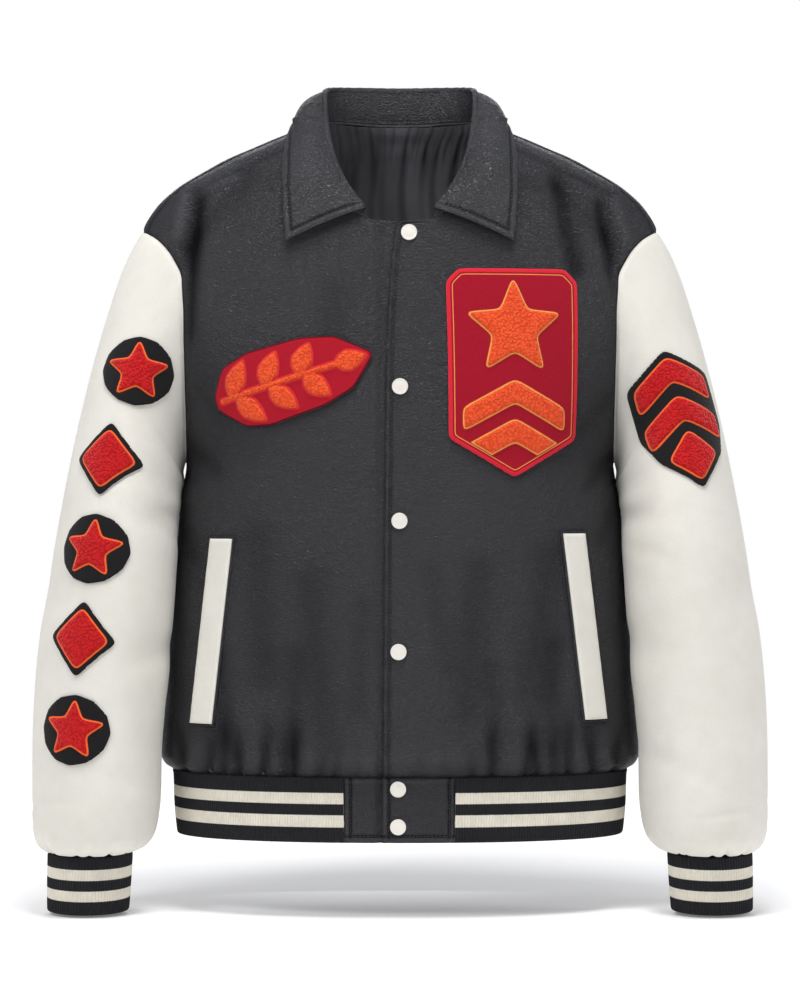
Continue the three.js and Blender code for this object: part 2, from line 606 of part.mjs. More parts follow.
// One half of a panel as rows of outer and inner points, from the middle line to the side
function panelHalf(isBack, startAngle, columns) {
  const outer = [];
  const inner = [];
  panelPlaces(isBack, startAngle).forEach((row, at) => {
    const pointAt = (share) => {
      const { angle, z } = row.at(share);
      return bodyPoint(angle, z);
    };
    const neckShareAt = (share) => {
      if (row.startNeck !== undefined && share < 0.001) return row.startNeck;
      const across = (share * PANEL_COLUMNS) / NECK_STEPS_BACK;
      return row.isTop && across < 1.001 ? 2 - across : undefined;
    };
    const inwardAt = (share) => {
      const neckShare = neckShareAt(share);
      if (neckShare !== undefined) return neckInward(neckShare);
      if (share > 0.999 && row.round !== undefined) return armholeInward(row.round);
      const { angle, z } = row.at(share);
      return bodyNormal(angle, z).negate();
    };
    const spread = (count) => {
      const steps = row.isShoulder ? PANEL_COLUMNS - NECK_STEPS_BACK : count;
      const isEven = row.isShoulder || (isBack && row.round !== undefined && row.round !== 180);
      return isEven ? Array.from({ length: steps + 1 }, (_, i) => i / steps) : evenly(pointAt, steps);
    };
    const line = (count, thickness, raise) =>
      columns(row, spread(count)).map(({ share, lap }, column) => {
        const inward = inwardAt(share);
        const point = pointAt(share).addScaledVector(inward, thickness + lap);
        return raise ? point.addScaledVector(inward, -raise(column)) : point;
      });
    const gathered = at < GATHER_ROWS;
    const fade = GATHER_RISE[at] ?? 0;
    const raise = (column) =>
      column % 2 && (isBack || column > 4) ? GATHER_DEPTH * uneven(column + (isBack ? 7 : 0)) * fade : 0;
    const isLow = at < BODY_ROWS.length;
    outer.push(line(gathered ? GATHER_COLUMNS : PANEL_COLUMNS, 0, gathered ? raise : null));
    inner.push(line(isLow ? INNER_COLUMNS : PANEL_COLUMNS, LEATHER, null));
  });
  return { outer, inner };
}

const TOP_PULL = 0.9; // share of the gap by which the fronts keep off the back at the shoulder

// Draws the edges of a wall's rows back from a seam, by half of its gap
function drawBack(rows, where) {
  const pull = (point, toward, share = 0.5) =>
    point.addScaledVector(toward.clone().sub(point).normalize(), SEAM_GAP * share);
  if (where.end) rows.forEach((row) => pull(row[row.length - 1], row[row.length - 2]));
  if (where.start) rows.forEach((row) => pull(row[0], row[1]));
  if (where.top) {
    const top = rows[rows.length - 1];
    const below = rows[rows.length - 2];
    const ratio = (below.length - 1) / (top.length - 1);
    top.forEach((point, i) => pull(point, below[Math.round(i * ratio)], TOP_PULL));
  }
}

// The two fronts: the wearer's left one laps over the right one
const UNDERLAP = {
  edge: 13,
  step: -24,
  depth: LEATHER + 0.8,
  steps: [
    { share: 0, lap: 1 },
    { share: 0.72, lap: 1 },
    { share: 1, lap: 0 },
  ],
  denseSteps: [
    { share: 0, lap: 1 },
    { share: 0.36, lap: 1 },
    { share: 0.72, lap: 1 },
    { share: 0.86, lap: 0.5 },
    { share: 1, lap: 0 },
  ],
};
const plainColumns = (row, shares) => shares.map((share) => ({ share, lap: 0 }));

function leftFront() {
  const half = panelHalf(false, (z) => angleAt(placketX(z), z), plainColumns);
  for (const rows of [half.outer, half.inner]) drawBack(rows, { end: true, top: true });
  return wall(half.outer, half.inner, false);
}

function rightFront() {
  // The first columns lie under the other front, and the last of them is where the cloth comes out
  const lapped = (row, shares) => {
    const count = shares.length - 1;
    const { angle, z } = row.at(0);
    const onNeck = row.startNeck !== undefined;
    const reach = bodyPoint(row.at(0.2).angle, row.at(0.2).z).x - bodyPoint(angle, z).x;
    const under = onNeck ? 0.03 : (0.2 * (UNDERLAP.edge - UNDERLAP.step)) / reach;
    if (row.isShoulder) return plainColumns(row, shares);
    const steps = count > PANEL_COLUMNS ? UNDERLAP.denseSteps : UNDERLAP.steps;
    const lastStep = steps.length - 1;
    return shares.map((_, i) => {
      if (i > lastStep) return { share: under + ((1 - under) * (i - lastStep)) / (count - lastStep), lap: 0 };
      return { share: steps[i].share * under, lap: onNeck ? 0 : steps[i].lap * UNDERLAP.depth };
    });
  };
  const half = panelHalf(false, (z) => angleAt(-UNDERLAP.edge, z), lapped);
  for (const rows of [half.outer, half.inner]) drawBack(rows, { end: true, top: true });
  return wall(mirrored(half.outer), mirrored(half.inner), false);
}

function backPanel() {
  const half = panelHalf(true, () => 180, plainColumns);
  const whole = (rows) => mirrored(rows).map((row, i) => [...row.slice(1).reverse(), ...rows[i]]);
  const outer = whole(half.outer);
  const inner = whole(half.inner);
  for (const rows of [outer, inner]) drawBack(rows, { start: true, end: true });
  return wall(outer, inner, false);
}

// Angles round the sleeve at which the armhole's edges have their points
const SLEEVE_ROUNDS = [];
for (let i = 0; i < ARM_ROWS; i += 1) SLEEVE_ROUNDS.push(14 + (166 * i) / ARM_ROWS);
for (let i = 0; i < ARM_ROWS; i += 1) SLEEVE_ROUNDS.push(180 + (194 * i) / ARM_ROWS);

function sleeveWall() {
  const outer = [];
  const inner = [];
  const after = (rounds, i) => rounds[i + 1] ?? rounds[0] + 360;
  const denser = (rounds) => rounds.flatMap((round, i) => [round, (round + after(rounds, i)) / 2]);
  SLEEVE.forEach((_, at) => {
    const gathered = at >= SLEEVE_GATHER_FROM;
    const fade = SLEEVE_GATHER_RISE[at - SLEEVE_GATHER_FROM] ?? 0;
    const rounds = gathered ? denser(SLEEVE_ROUNDS) : SLEEVE_ROUNDS;
    const inwardAt = (round) => (at === 0 ? armholeInward(round) : sleeveNormal(round, at).negate());
    const base = (round) => {
      const point = sleevePoint(round, at);
      if (at > 0) return point;
      return point.addScaledVector(sleevePoint(round, 0.5).sub(point).normalize(), SEAM_GAP);
    };
    outer.push(
      rounds.map((round, i) => {
        const raise = gathered && i % 2 ? SLEEVE_GATHER_DEPTH * uneven(i + 3) * fade : 0;
        return base(round).addScaledVector(inwardAt(round), -raise);
      }),
    );
    inner.push(SLEEVE_ROUNDS.map((round) => base(round).addScaledVector(inwardAt(round), FELT)));
  });
  return { outer, inner };
}

// Rib-knit band: the ribs are raised on the outside of a plain wall
function ribbed(pointAt, count, inwardAt, heights, closed) {
  const ribPoints = closed ? count * 2 : count * 2 + 1;
  const insideSteps = Math.round(count / 4);
  const outer = heights.map((height) =>
    Array.from({ length: ribPoints }, (_, i) => {
      const share = i / (count * 2);
      return pointAt(share, height).addScaledVector(inwardAt(share), i % 2 ? -RIB_HEIGHT : 0);
    }),
  );
  const inner = heights.map((height) =>
    Array.from({ length: closed ? insideSteps : insideSteps + 1 }, (_, i) => {
      const share = i / insideSteps;
      return pointAt(share, height).addScaledVector(inwardAt(share), RIB_WALL);
    }),
  );
  return { outer, inner };
}

// Cuff: an oval tube whose front hangs a little lower
function cuffPoint(share, height) {
  const turn = share * 2 * Math.PI;
  const width = CUFF.width + (CUFF.lowWidth - CUFF.width) * height;
  const x = CUFF.topX + (CUFF.lowX - CUFF.topX) * height + width * Math.cos(turn);
  const y = CUFF.middle - CUFF.depth * (width / CUFF.width) * Math.sin(turn);
  const z = CUFF.top + (CUFF.bottom - CUFF.top) * height + CUFF_TILT * (y - CUFF.middle) - SEAM_GAP;
  return vector(x, y, z);
}

const cuffInward = (share) => vector(-Math.cos(share * 2 * Math.PI), Math.sin(share * 2 * Math.PI), 0);

// The hem band and its tabs lie on the body's own sections. The angle goes on past 180 to the -X half.
function roundBody(angle, z) {
  if (angle <= 180) return plainBody(angle, z);
  const point = plainBody(360 - angle, z);
  point.x = -point.x;
  return point;
}

const hemNormal = (angle, z) => {
  const normal = normalOf(roundBody, angle, z, 0.6, 1.2);
  normal.z = 0;
  return normal.normalize();
};
const HEM_TOP = WAIST_Z - SEAM_GAP;

function hemBand() {
  const z = (HEM_TOP + HEM_Z) / 2;
  const start = angleAt(TABS.leftEnd + TABS.gap, z);
  const end = 360 - angleAt(TABS.rightEnd + TABS.gap, z);
  const shares = evenly((share) => roundBody(start + (end - start) * share, z), 48);
  const even = curveOf(shares.map((value, i) => ({ at: i / 48, value })), "at", "value");
  const angleOf = (share) => start + (end - start) * even(share);
  const pointAt = (share, height) => roundBody(angleOf(share), HEM_TOP + (HEM_Z - HEM_TOP) * height);
  const inwardAt = (share) => hemNormal(angleOf(share), z).negate();
  return ribbed(pointAt, HEM_RIBS, inwardAt, [0, 1], false);
}

function hemTab(fromX, toX, underX) {
  const heights = [0, 0.09, 0.5, 1].map((share) => HEM_TOP + (HEM_Z - HEM_TOP) * share);
  const steps = underX ?? [0, 0.25, 0.5, 0.75, 1].map((share) => fromX + (toX - fromX) * share);
  const rows = (thickness) =>
    heights.map((z) =>
      steps.map((x) => {
        const angle = angleAt(x, z);
        const lap = underX !== undefined && x > UNDERLAP.step + 2 ? UNDERLAP.depth : 0;
        return plainBody(angle, z).addScaledVector(hemNormal(angle, z), -thickness - lap);
      }),
    );
  return wall(rows(0), rows(LEATHER), false);
}

// Vertex normals of a grid of points, for walls whose thickness follows their own shape
function gridNormals(rows) {
  return rows.map((row, i) =>
    row.map((_, j) => {
      const before = rows[Math.max(i - 1, 0)];
      const after = rows[Math.min(i + 1, rows.length - 1)];
      const along = after[j].clone().sub(before[j]);
      const across = row[Math.min(j + 1, row.length - 1)].clone().sub(row[Math.max(j - 1, 0)]);
      return across.cross(along).normalize();
    }),
  );
}

// Moves a point away from the body until it is clear of the body's outside
function clearOfBody(point, clearance) {
  const level = (p) => {
    const depth = p.y < body.middle(p.z) ? body.front(p.z) : body.back(p.z);
    const square = body.square(p.z);
    const across = Math.abs(p.x / body.width(p.z)) ** square;
    return (across + Math.abs((p.y - body.middle(p.z)) / depth) ** square) ** (1 / square) - 1;
  };
  const step = 0.5;
  for (let i = 0; i < 6; i += 1) {
    const slope = vector(
      level(vector(point.x + step, point.y, point.z)) - level(vector(point.x - step, point.y, point.z)),
      level(vector(point.x, point.y + step, point.z)) - level(vector(point.x, point.y - step, point.z)),
      level(vector(point.x, point.y, point.z + step)) - level(vector(point.x, point.y, point.z - step)),
    ).divideScalar(2 * step);
    const distance = level(point) / slope.length();
    if (distance >= clearance) break;
    point.addScaledVector(slope.normalize(), clearance - distance);
  }
  return point;
}

// Collar: both halves share the middle station. Rows run from one front end over the back to the other.
function collarRows(stationRow) {
  const half = COLLAR.map((_, station) => stationRow(station));
  const other = half.slice(0, -1).reverse();
  const flip = (point) => vector(-point.x, point.y, point.z);
  return [...half, ...other.map((row) => row.map(flip))];
}

const standTop = ({ fold, up, out }) =>
  fold.clone().addScaledVector(out, -ROLL_RADIUS).addScaledVector(up, -STAND_BELOW_FOLD);

function collarStand() {
  const station = (at, outside) => {
    const frame = collarFrame(at);
    const share = NECK_STATIONS[at];
    const top = standTop(frame);
    const seam = necklinePoint(share);
    const inward = neckInward(share);
    const low = seam.clone().addScaledVector(inward, outside ? 0 : LEATHER);
    const rise = top.clone().sub(low).normalize();
    low.addScaledVector(rise, SEAM_GAP * 1.6);
    if (outside) top.addScaledVector(frame.out, COLLAR_WALL);
    const middle = lerp(low, top, 0.5);
    return [low, middle, top];
  };
  return wall(collarRows((at) => station(at, true)), collarRows((at) => station(at, false)), false);
}

function collarLeaf() {
  const shown = collarRows((at) => {
    const frame = collarFrame(at);
    const row = COLLAR[at];
    const start = standTop(frame).addScaledVector(frame.up, SEAM_GAP);
    const turned = frame.fold.clone().addScaledVector(frame.out, ROLL_RADIUS).addScaledVector(frame.up, -3.4);
    const edge = vector(row.edgeX, row.edgeY, row.edgeZ);
    const fall = edge.clone().sub(turned);
    const bowed = vector(0, 0, 0).crossVectors(frame.along, fall).normalize();
    const middle = lerp(turned, edge, 0.42).addScaledVector(bowed, -row.bow);
    if (bowed.dot(frame.out) > 0) middle.addScaledVector(bowed, 2 * row.bow);
    const curve = new THREE.CatmullRomCurve3([turned, middle, edge]);
    const fallen = [0, 0.25, 0.5, 0.75, 1].map((share) => {
      const point = curve.getPoint(share);
      return share > 0 ? clearOfBody(point, COLLAR_WALL + LEAF_LIFT) : point;
    });
    return [start, frame.fold.clone(), ...fallen];
  });
  const normals = gridNormals(shown);
  const middle = COLLAR.length - 1;
  const under = shown.map((row, i) =>
    row.map((point, j) => {
      const station = i <= middle ? i : 2 * middle - i;
      const frame = collarFrame(station);
      const sideways = i <= middle ? 1 : -1;
      const onSide = (direction) => vector(direction.x * sideways, direction.y, direction.z);
      const outward = onSide(frame.out);
      if (j === 0) return point.clone().addScaledVector(outward, COLLAR_WALL);
      if (j === 1) return point.clone().addScaledVector(onSide(frame.up), -COLLAR_WALL);
      const normal = normals[i][j];
      return point.clone().addScaledVector(normal, normal.dot(outward) > 0 ? -COLLAR_WALL : COLLAR_WALL);
    }),
  );
  return wall(shown, under, false);
}

// Satin lining behind the neck, inside the back, with soft upright folds
function backLining() {
  const clearance = LEATHER + 2.5;
  const surface = (angle, z) => {
    const point = bodyPoint(Math.min(angle, 360 - angle), z);
    if (angle > 180) point.x = -point.x;
    return point;
  };
  const rows = LINING_ROWS.map((z) => {
    const edge = 180 - angleAt(LINING_HALF_WIDTH, z);
    const step = (360 - 2 * edge) / LINING_COLUMNS;
    return Array.from({ length: LINING_COLUMNS + 1 }, (_, i) => ({ angle: edge + step * i, z }));
  });
  const depthAt = (column) => (column % 2 ? LINING_FOLD * uneven(column * 1.7) : 0);
  const place = (extra, folded) =>
    rows.map((row) =>
      row
        .filter((_, i) => folded || i % 3 === 0)
        .map(({ angle, z }, i) => {
          const normal = normalOf(roundBody, angle, z, 0.6, 1.2);
          const inward = clearance + extra + (folded ? depthAt(i) * Math.min(1, (4 - z) / 30) : 0);
          return surface(angle, z).addScaledVector(normal, -inward);
        }),
    );
  return wall(place(LINING_WALL, true), place(0, false), false);
}

// A patch lies on a surface in a frame of its own: an outline in the frame's plane, cut from a slab that is
// made from the surface's own points moved out
function solidOf(geometry) {
  const plain = geometry.clone();
  plain.deleteAttribute("normal");
  plain.deleteAttribute("uv");
  const merged = mergeVertices(plain, 1e-4);
  return new wasm.Manifold(
    new wasm.Mesh({
      numProp: 3,
      vertProperties: Float32Array.from(merged.attributes.position.array),
      triVerts: Uint32Array.from(merged.index.array),
    }),
  );
}

function geometryFrom(solid) {
  const mesh = solid.getMesh();
  const geometry = new THREE.BufferGeometry();
  geometry.setAttribute("position", new THREE.BufferAttribute(mesh.vertProperties, 3));
  geometry.setIndex(new THREE.BufferAttribute(mesh.triVerts, 1));
  return geometry;
}

function frameOn(surface, centre, turn) {
  const point = surface(centre.u, centre.v);
  const normal = normalOf(surface, centre.u, centre.v, 1, 1);
  if (normal.dot(centre.facing) < 0) normal.negate();
  const right = vector(0, 0, 0).crossVectors(vector(0, 0, 1), normal).normalize();
  const up = vector(0, 0, 0).crossVectors(normal, right).normalize();
  right.applyAxisAngle(normal, turn);
  up.applyAxisAngle(normal, turn);
  return { point, normal, right, up };
}

// Prism over an outline given in the frame's plane
function prism(frame, outline) {
  const shape = new THREE.Shape(outline.map(([x, y]) => new THREE.Vector2(x, y)));
  const geometry = new THREE.ExtrudeGeometry(shape, { depth: 120, bevelEnabled: false });
  geometry.translate(0, 0, -60);
  geometry.applyMatrix4(new THREE.Matrix4().makeBasis(frame.right, frame.up, frame.normal));
  geometry.translate(frame.point.x, frame.point.y, frame.point.z);
  return solidOf(geometry);
}

function slab(surface, range, steps, low, high) {
  const rows = (offset) =>
    Array.from({ length: steps.v + 1 }, (_, j) =>
      Array.from({ length: steps.u + 1 }, (_, i) => {
        const u = range.u0 + ((range.u1 - range.u0) * i) / steps.u;
        const v = range.v0 + ((range.v1 - range.v0) * j) / steps.v;
        const normal = normalOf(surface, u, v, 1, 1);
        if (normal.dot(range.facing) < 0) normal.negate();
        return surface(u, v).addScaledVector(normal, offset);
      }),
    );
  return solidOf(wall(rows(high), rows(low), false));
}

// Front of the body as a surface over X and Z, on the +X half or mirrored on the other
const frontSurface = (x, z) => {
  const point = bodyPoint(angleAt(Math.abs(x), z), z);
  if (x < 0) point.x = -point.x;
  return point;
};
const sleeveSurface = (sign) => (round, at) => {
  const point = sleevePoint(round, at / 10);
  point.x *= sign;
  return point;
};

// Felt backing with chenille raised on it
function patch(surface, range, steps, centre, turn, backing, motifs) {
  const frame = frameOn(surface, centre, turn);
  const feltTop = PATCH_GAP + PATCH_FELT;
  const felt = slab(surface, range, steps, PATCH_GAP, feltTop).intersect(prism(frame, backing));
  let pile = null;
  const pileSlab = slab(surface, range, steps, feltTop - PATCH_FELT / 2, feltTop + PATCH_PILE);
  for (const motif of motifs) {
    const piece = pileSlab.intersect(prism(frame, motif));
    pile = pile ? pile.add(piece) : piece;
  }
  const pieces = felt.add(pile).decompose();
  return geometryFrom(pieces.reduce((a, b) => (b.volume() > a.volume() ? b : a)));
}

// Outlines in millimetres
const star = (x, y, radius, inner) =>
  Array.from({ length: 10 }, (_, i) => {
    const reach = i % 2 ? inner : radius;
    const turn = Math.PI / 2 + (i * Math.PI) / 5;
    return [x + reach * Math.cos(turn), y + reach * Math.sin(turn)];
  });
const chevron = (x, y, halfWidth, drop, thick) => [
  [x - halfWidth, y - drop],
  [x, y],
  [x + halfWidth, y - drop],
  [x + halfWidth, y - drop - thick],
  [x, y - thick],
  [x - halfWidth, y - drop - thick],
];
const lozenge = (x, y, halfWidth, halfHeight) => [
  [x, y + halfHeight],
  [x - halfWidth, y],
  [x, y - halfHeight],
  [x + halfWidth, y],
];
const bar = (x, y, halfWidth, halfHeight) => [
  [x - halfWidth, y - halfHeight],
  [x + halfWidth, y - halfHeight],
  [x + halfWidth, y + halfHeight],
  [x - halfWidth, y + halfHeight],
];

// A sprig: a stem with paired leaves, and the backing round them
const leaf = (x, y, length, width, turn) =>
  [
    [0, 0],
    [0.45, 0.5],
    [1, 0],
    [0.45, -0.5],
  ].map(([along, across]) => [
    x + length * along * Math.cos(turn) - width * across * Math.sin(turn),
    y + length * along * Math.sin(turn) + width * across * Math.cos(turn),
  ]);
const SPRIG = { from: -60, pitch: 34, pairs: 3, length: 38, width: 20, lean: 0.9 };

function sprigLeaves() {
  const leaves = [bar(-8, 0, 62, 2.6)];
  for (let i = 0; i < SPRIG.pairs; i += 1) {
    const x = SPRIG.from + SPRIG.pitch * i;
    const length = SPRIG.length * (1 - 0.07 * i);
    leaves.push(leaf(x, 1, length, SPRIG.width, SPRIG.lean));
    leaves.push(leaf(x + 6, -1, length, SPRIG.width, -SPRIG.lean));
  }
  leaves.push(leaf(44, 0, 32, SPRIG.width, 0));
  return leaves;
}

const sprigBacking = () => [
  [-76, -6],
  [-76, 7],
  [-60, 30],
  [-34, 36],
  [20, 34],
  [52, 26],
  [80, 3],
  [80, -3],
  [56, -26],
  [26, -34],
  [-28, -36],
  [-52, -30],
];
const chevronBacking = () => [
  [0, 66],
  [38, 40],
  [38, -10],
  [30, -38],
  [0, -70],
  [-30, -38],
  [-38, -10],
  [-38, 40],
];
const roundPad = (radius) =>
  Array.from({ length: 12 }, (_, i) => {
    const turn = (i * Math.PI) / 6;
    return [radius * Math.cos(turn), radius * Math.sin(turn)];
  });
// Motifs down the wearer's right sleeve, by the section of the sleeve in tenths
const SLEEVE_MOTIFS = [
  { at: 28.5, backing: roundPad(33), pile: star(0, 0, 28, 13) },
  { at: 52, backing: lozenge(0, 0, 32, 36), pile: lozenge(0, 0, 25, 28) },
  { at: 72.6, backing: roundPad(33), pile: star(0, 0, 28, 13) },
  { at: 93.3, backing: lozenge(0, 0, 32, 36), pile: lozenge(0, 0, 25, 28) },
  { at: 114.3, backing: roundPad(33), pile: star(0, 0, 28, 13) },
].map((motif) => ({ round: COLUMN_ROUND, turn: radians(-5), ...motif }));

const group = new THREE.Group();

function addPiece(name, geometry, finish) {
  const mesh = new THREE.Mesh(geometry, new THREE.MeshStandardMaterial(finish));
  mesh.name = name;
  group.add(mesh);
  return mesh;
}

addPiece("front_left", leftFront(), BLACK_LEATHER);
addPiece("front_right", rightFront(), BLACK_LEATHER);
addPiece("back", backPanel(), BLACK_LEATHER);
addPiece("back_lining", backLining(), SATIN);
addPiece("collar_stand", collarStand(), BLACK_LEATHER);
addPiece("collar_leaf", collarLeaf(), BLACK_LEATHER);

const sleeveSides = sleeveWall();
addPiece("sleeve_left", wall(sleeveSides.outer, sleeveSides.inner, true), IVORY_FELT);
addPiece("sleeve_right", wall(mirrored(sleeveSides.outer), mirrored(sleeveSides.inner), true), IVORY_FELT);
const cuff = ribbed(cuffPoint, CUFF_RIBS, cuffInward, [0, 1], true);
addPiece("cuff_left", wall(cuff.outer, cuff.inner, true), BLACK_RIB);
addPiece("cuff_right", wall(mirrored(cuff.outer), mirrored(cuff.inner), true), BLACK_RIB);
const hem = hemBand();
addPiece("hem_rib", wall(hem.outer, hem.inner, false), BLACK_RIB);
addPiece("hem_tab_left", hemTab(placketX(HEM_Z), TABS.leftEnd), BLACK_LEATHER);
addPiece("hem_tab_right", hemTab(0, 0, TABS.rightSteps), BLACK_LEATHER);

// Pocket welts: their middle line from the top to the bottom, laid on the fronts
for (const [name, welt] of Object.entries(WELTS)) {
  const surface = (across, down) => {
    const share = down / welt.length;
    const x = welt.topX + (welt.lowX - welt.topX) * share + across;
    return frontSurface(x, welt.topZ + (welt.lowZ - welt.topZ) * share);
  };
  const rows = (offset) =>
    Array.from({ length: WELT_ROWS + 1 }, (_, j) =>
      Array.from({ length: 4 }, (_, i) => {
        const u = -welt.width / 2 + (welt.width * i) / 3;
        const v = (welt.length * j) / WELT_ROWS;
        const normal = normalOf(surface, u, v, 0.5, 0.5);
        if (normal.y > 0) normal.negate();
        return surface(u, v).addScaledVector(normal, offset);
      }),
    );
  addPiece(name, wall(rows(WELT_GAP + WELT_THICK), rows(WELT_GAP), false), IVORY_FELT);
}

// Snap caps, turned from a profile and seated square on the cloth
const capProfile = [
  [0, 0],
  [7, 0],
  [7.6, 1.2],
  [6.6, 2.2],
  [0, 2.7],
].map(([x, y]) => new THREE.Vector2(x, y));
for (const snap of SNAPS) {
  const geometry = new THREE.LatheGeometry(capProfile, 18);
  const normal = hemOrFrontNormal(snap);
  const mesh = addPiece(snap.name, geometry, SNAP_CAP);
  mesh.quaternion.setFromUnitVectors(vector(0, 1, 0), normal);
  mesh.position.copy(frontSurface(snap.x, snap.z)).addScaledVector(normal, SNAP_GAP);
}

function hemOrFrontNormal(snap) {
  const normal = normalOf(frontSurface, snap.x, snap.z, 2, 2);
  return normal.y > 0 ? normal.negate() : normal;
}

// Chest patches
const front = vector(0, -1, 0);
addPiece(
  "patch_chest_left",
  patch(
    frontSurface,
    { u0: 34, u1: 182, v0: -352, v1: -140, facing: front },
    { u: 6, v: 3 },
    { u: 106, v: -246, facing: front },
    0,
    CHEST_SHIELD,
    [star(0, 40, 46, 21), chevron(0, -8, 48, 26, 20), chevron(0, -44, 48, 26, 20)],
  ),
  ORANGE_CHENILLE,
);
addPiece(
  "patch_chest_right",
  patch(
    frontSurface,
    { u0: -192, u1: -16, v0: -318, v1: -188, facing: front },
    { u: 8, v: 4 },
    { u: -103, v: -253, facing: front },
    radians(17),
    sprigBacking(),
    sprigLeaves(),
  ),
  ORANGE_CHENILLE,
);

// Sleeve patches
const rightSleeve = sleeveSurface(-1);
const leftSleeve = sleeveSurface(1);
SLEEVE_MOTIFS.forEach((motif, i) => {
  const { round, at, turn, backing, pile } = motif;
  const range = { u0: round - 46, u1: round + 40, v0: at - 9.5, v1: at + 9.5, facing: front };
  const centre = { u: round, v: at, facing: front };
  const geometry = patch(rightSleeve, range, { u: 6, v: 2 }, centre, turn, backing, [pile]);
  addPiece(`patch_sleeve_right_${i + 1}`, geometry, RED_CHENILLE);
});
addPiece(
  "patch_sleeve_left",
  patch(
    leftSleeve,
    { u0: 26, u1: 122, v0: 17, v1: 65, facing: vector(0.3, -1, 0) },
    { u: 8, v: 3 },
    { u: 74, v: 41, facing: vector(0.3, -1, 0) },
    radians(14),
    chevronBacking(),
    [chevron(0, 58, 32, 22, 22), chevron(0, 20, 32, 22, 22), lozenge(0, -38, 22, 24)],
  ),
  RED_CHENILLE,
);

export default group;
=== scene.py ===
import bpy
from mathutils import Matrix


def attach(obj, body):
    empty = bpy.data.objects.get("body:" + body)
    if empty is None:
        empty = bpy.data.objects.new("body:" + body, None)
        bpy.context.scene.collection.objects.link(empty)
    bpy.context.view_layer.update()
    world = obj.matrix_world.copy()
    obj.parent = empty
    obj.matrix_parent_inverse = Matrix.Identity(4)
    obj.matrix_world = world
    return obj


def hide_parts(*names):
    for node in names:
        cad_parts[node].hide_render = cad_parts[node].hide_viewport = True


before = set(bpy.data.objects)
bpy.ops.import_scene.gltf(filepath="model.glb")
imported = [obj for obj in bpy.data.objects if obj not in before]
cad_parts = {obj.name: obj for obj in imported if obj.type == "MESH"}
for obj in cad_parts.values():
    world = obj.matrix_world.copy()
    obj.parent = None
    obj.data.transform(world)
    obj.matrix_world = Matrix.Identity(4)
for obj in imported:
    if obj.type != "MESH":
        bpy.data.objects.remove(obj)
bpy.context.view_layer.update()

"""Varsity jacket, filled out and hollow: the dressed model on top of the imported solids.

Sizes are in millimetres until a mesh is made. +Z is up, the front faces -Y and +X is the wearer's left.
"""

import logging
import math
from dataclasses import dataclass, field
from enum import Enum
from typing import Callable, Sequence

import bpy
import numpy as np
from mathutils import Vector

LOG = logging.getLogger("jacket")
MM = 0.001

Array = np.ndarray
Socket = bpy.types.NodeSocket
Node = bpy.types.Node
NodeTree = bpy.types.NodeTree
Material = bpy.types.Material
Piece = bpy.types.Object


# Small tools for curves and grids of points


def unit(vectors: Array) -> Array:
    """Return vectors at length one."""
    return vectors / np.maximum(np.linalg.norm(vectors, axis=-1, keepdims=True), 1e-9)


def smoothstep(value: Array, low: float, high: float) -> Array:
    """Return 0 below low, 1 above high and a smooth rise between them."""
    share = np.clip((np.asarray(value, float) - low) / (high - low), 0, 1)
    return share * share * (3 - 2 * share)


def point(x: Array, y: Array, z: Array) -> Array:
    """Stack three coordinates, which may have different shapes, as points."""
    return np.stack(np.broadcast_arrays(np.asarray(x, float), y, z), axis=-1)


class Curve:
    """Monotone cubic curve through given places and values."""

    def __init__(self, at: Sequence[float], value: Sequence[float]) -> None:
        """Order the places and work out the slope at each one.

        Args:
            at: Places along the curve.
            value: Value at each place.
        """
        order = np.argsort(at)
        self.at = np.asarray(at, float)[order]
        self.value = np.asarray(value, float)[order]
        slope = np.diff(self.value) / np.diff(self.at)
        before, after = slope[:-1], slope[1:]
        same_way = before * after > 0
        inner = np.where(same_way, 2 * before * after / np.where(same_way, before + after, 1), 0)
        self.tangent = np.concatenate([slope[:1], inner, slope[-1:]])

    def __call__(self, x: Array) -> Array:
        """Return the curve's values at x, held at the ends."""
        p = np.clip(x, self.at[0], self.at[-1])
        i = np.clip(np.searchsorted(self.at, p, side="left") - 1, 0, len(self.at) - 2)
        span = self.at[i + 1] - self.at[i]
        t = (p - self.at[i]) / span
        t2, t3 = t * t, t * t * t
        return (
            (2 * t3 - 3 * t2 + 1) * self.value[i]
            + (t3 - 2 * t2 + t) * span * self.tangent[i]
            + (3 * t2 - 2 * t3) * self.value[i + 1]
            + (t3 - t2) * span * self.tangent[i + 1]
        )


@dataclass(frozen=True)
class Table:
    """Rows of sizes under named columns."""

    columns: tuple[str, ...]
    rows: tuple[tuple, ...]

    def column(self, name: str) -> list:
        """Return one column's values."""
        place = self.columns.index(name)
        return [row[place] for row in self.rows]

    def curve(self, along: str, name: str) -> Curve:
        """Return a smooth curve of one column over another."""
        return Curve(self.column(along), self.column(name))

    def curves(self, along: str) -> dict[str, Curve]:
        """Return the curves of all the other columns over one column."""
        return {name: self.curve(along, name) for name in self.columns if name != along}

    def numbered(self) -> "Table":
        """Return the table with a first column that counts its rows."""
        return Table(("at",) + self.columns, tuple((i,) + row for i, row in enumerate(self.rows)))


def normals_of(surface: Callable, u: Array, v: Array, du: float, dv: float) -> Array:
    """Return the normals of a surface over two values.

    Args:
        surface: Function of u and v that gives points.
        u: First value.
        v: Second value.
        du: Half step along u.
        dv: Half step along v.

    Returns:
        The unit normals.
    """
    along_u = surface(u + du, v) - surface(u - du, v)
    along_v = surface(u, v + dv) - surface(u, v - dv)
    return unit(np.cross(along_u, along_v))


def grid_normals(grid: Array) -> Array:
    """Return the unit normals of a grid of points from its own shape."""
    return unit(np.cross(np.gradient(grid, axis=1), np.gradient(grid, axis=0)))


